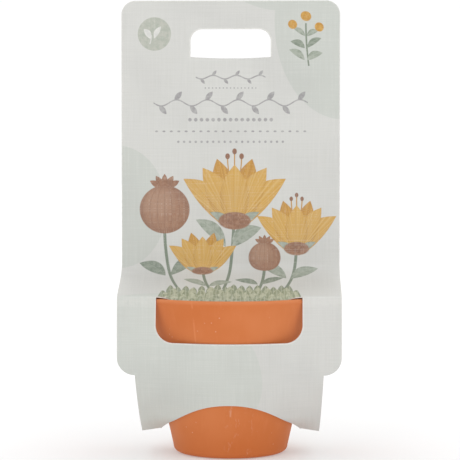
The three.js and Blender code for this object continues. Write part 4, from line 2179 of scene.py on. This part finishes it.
    def dress(self, piece: Piece) -> None:
        """Prints the board and gives it its inner face and cut edges.

        Args:
            piece: The cut sheet, before it gets its thickness.
        """
        front, back = self.prints()
        inner, edge = BareBoard().material(), CutEdge().material()
        for material in (front, back, inner, inner, edge, edge):
            piece.data.materials.append(material)

    def prints(self) -> tuple[Material, Material]:
        """Prints both outer faces.

        Returns:
            The front's and the back's material.
        """
        # The slot's shape runs on over the crease, the hole's below its bowed edge and the outline's far
        # down the strip, so that only the ends that are really cut have round corners.
        crease, corner = self.crease_level, self.handle_corner
        slot_low = self.lower_flat_level(self.slot_bottom)
        slot = CutShape(self.slot_half, slot_low, crease + 40, self.slot_corner, 0, crease)
        handle = CutShape(self.handle_half, self.handle_bottom - 2 * corner, self.handle_top, corner,
                          self.handle_bottom + 0.2, self.handle_top + 2)
        outline = CutShape(self.half, -3 * self.half, self.top, self.header_corner, 0, self.top)
        art = Artwork(Hedge(crease, self.hedge_half, self.slot_half - 0.3))
        front = BoardPrint("card_print_front", art.front(), (slot, handle), outline, crease, self.slot_half)
        back = replace(front, name="card_print_back", motifs=art.back())
        return front.material(), back.material()


# ------------------------------------------------------------------ stage


@dataclass(frozen=True)
class Lamp:
    """A soft square lamp: its name, place and side in metres, and its power in watts."""

    name: str
    place: tuple[float, float, float]
    side: float
    power: float

    def light(self, target: Vector) -> None:
        """Adds the lamp, turned to a point.

        Args:
            target: The point that it looks at.
        """
        data = bpy.data.lights.new(self.name, "AREA")
        data.shape, data.size, data.energy = "SQUARE", self.side, self.power
        lamp = bpy.data.objects.new(self.name, data)
        lamp.location = self.place
        lamp.rotation_euler = (target - Vector(self.place)).to_track_quat("-Z", "Y").to_euler()
        bpy.context.scene.collection.objects.link(lamp)


@dataclass(frozen=True)
class Studio:
    """Floor, white surround, lamps and camera. Lengths in metres, angles in degrees.

    The camera looks from its distance, azimuth and elevation at its aim, with a field of view. The surround
    shines with front, side, back and above from those sides, and with horizon all round at floor level.
    """

    distance: float = 0.835
    azimuth: float = 1.4
    elevation: float = 1.9
    aim: tuple[float, float, float] = (-0.0003, 0.0, 0.1107)
    field: float = 15.7
    sensor: float = 36.0

    front: float = 0.40
    side: float = 0.42
    back: float = 1.02
    above: float = 1.35
    horizon: float = 1.02
    lamps: tuple[Lamp, ...] = (
        Lamp("key_left", (-0.85, -1.5, 0.75), 0.6, 3.2),
        Lamp("key_right", (0.9, -1.45, 0.6), 0.6, 2.8),
    )
    lamp_target: tuple[float, float, float] = (0.0, 0.0, 0.1)

    floor_size: float = 40.0
    floor_drop: float = 0.0002
    floor_tones: Pair = (0.62, 0.58)
    floor_glow: Pair = (0.30, 0.42)
    glow_reach: Pair = (0.04, 0.30)

    def build(self) -> None:
        """Sets up the whole stage."""
        self.floor()
        self.world()
        for lamp in self.lamps:
            lamp.light(Vector(self.lamp_target))
        self.camera()
        bpy.context.scene.view_settings.view_transform = "Standard"

    def floor(self) -> None:
        """Adds the pale floor, which glows as a light of its own, and less round the object's foot as a
        painted shadow there.
        """
        Bench.clear()
        bpy.ops.mesh.primitive_plane_add(size=self.floor_size, location=(0, 0, -self.floor_drop))
        floor = Bench.name("studio_floor")
        shader = Shader(bpy.data.materials.new("floor_paint"))
        place = shader.object_place()
        x, y, _ = shader.split(place)
        away = shader.math("SQRT", x.times_plus(x, y * y))
        grain = shader.noise(place, 9, 2.0)
        tones = [(level, level, level, 1) for level in self.floor_tones + self.floor_glow]
        color = shader.blend(grain * 0.05, tones[0], tones[1])
        # the floor's own glow lights the scene, and is weaker round the foot as a painted shadow
        glow = shader.blend(away.step(*self.glow_reach), tones[2], tones[3])
        paint = shader.finish(color, 0.9, None, {"Emission Color": glow}, Emission_Strength=1.0,
                              Specular_IOR_Level=0.1)
        floor.data.materials.append(paint)

    def world(self) -> None:
        """Fills the surround with soft white light."""
        shader = Shader(bpy.data.worlds.new("studio_air"))
        _, ahead, up = shader.split(shader.node("ShaderNodeTexCoord", {}, {}).outputs["Generated"])
        level = ahead.step(0.0, -0.5).times_plus(self.front - self.side, self.side)
        level = level + ahead.step(0.0, 0.7) * (self.back - self.side)
        level = level + up.step(0.45, 0.95) * (self.above - self.side)
        level = shader.math("MAXIMUM", level, up.step(0.22, 0.12) * self.horizon)
        light = shader.node("ShaderNodeBackground", {}, {"Color": (1, 1, 1, 1), "Strength": level})
        shader.node("ShaderNodeOutputWorld", {}, {"Surface": light.outputs[0]})
        bpy.context.scene.world = shader.holder

    def camera(self) -> None:
        """Adds the camera."""
        data = bpy.data.cameras.new("studio_camera")
        data.sensor_width = self.sensor
        data.lens = self.sensor / 2 / math.tan(math.radians(self.field / 2))
        camera = bpy.data.objects.new("studio_camera", data)
        a, e = math.radians(self.azimuth), math.radians(self.elevation)
        away = Vector((math.sin(a) * math.cos(e), -math.cos(a) * math.cos(e), math.sin(e)))
        camera.location = Vector(self.aim) + away * self.distance
        camera.rotation_euler = (-away).to_track_quat("-Z", "Y").to_euler()
        bpy.context.scene.collection.objects.link(camera)
        bpy.context.scene.camera = camera


def main() -> None:
    """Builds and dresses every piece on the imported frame."""
    logging.basicConfig(level=logging.INFO, format="%(name)s: %(message)s")
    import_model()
    Studio().build()
    pot = PlantPot()
    for maker in (CardCarrier(pot), pot, CoirDisc(), SeedSachet()):
        piece = maker.build()
        log.info("%s: %d faces", piece.name, len(piece.data.polygons))


if __name__ == "__main__":
    main()
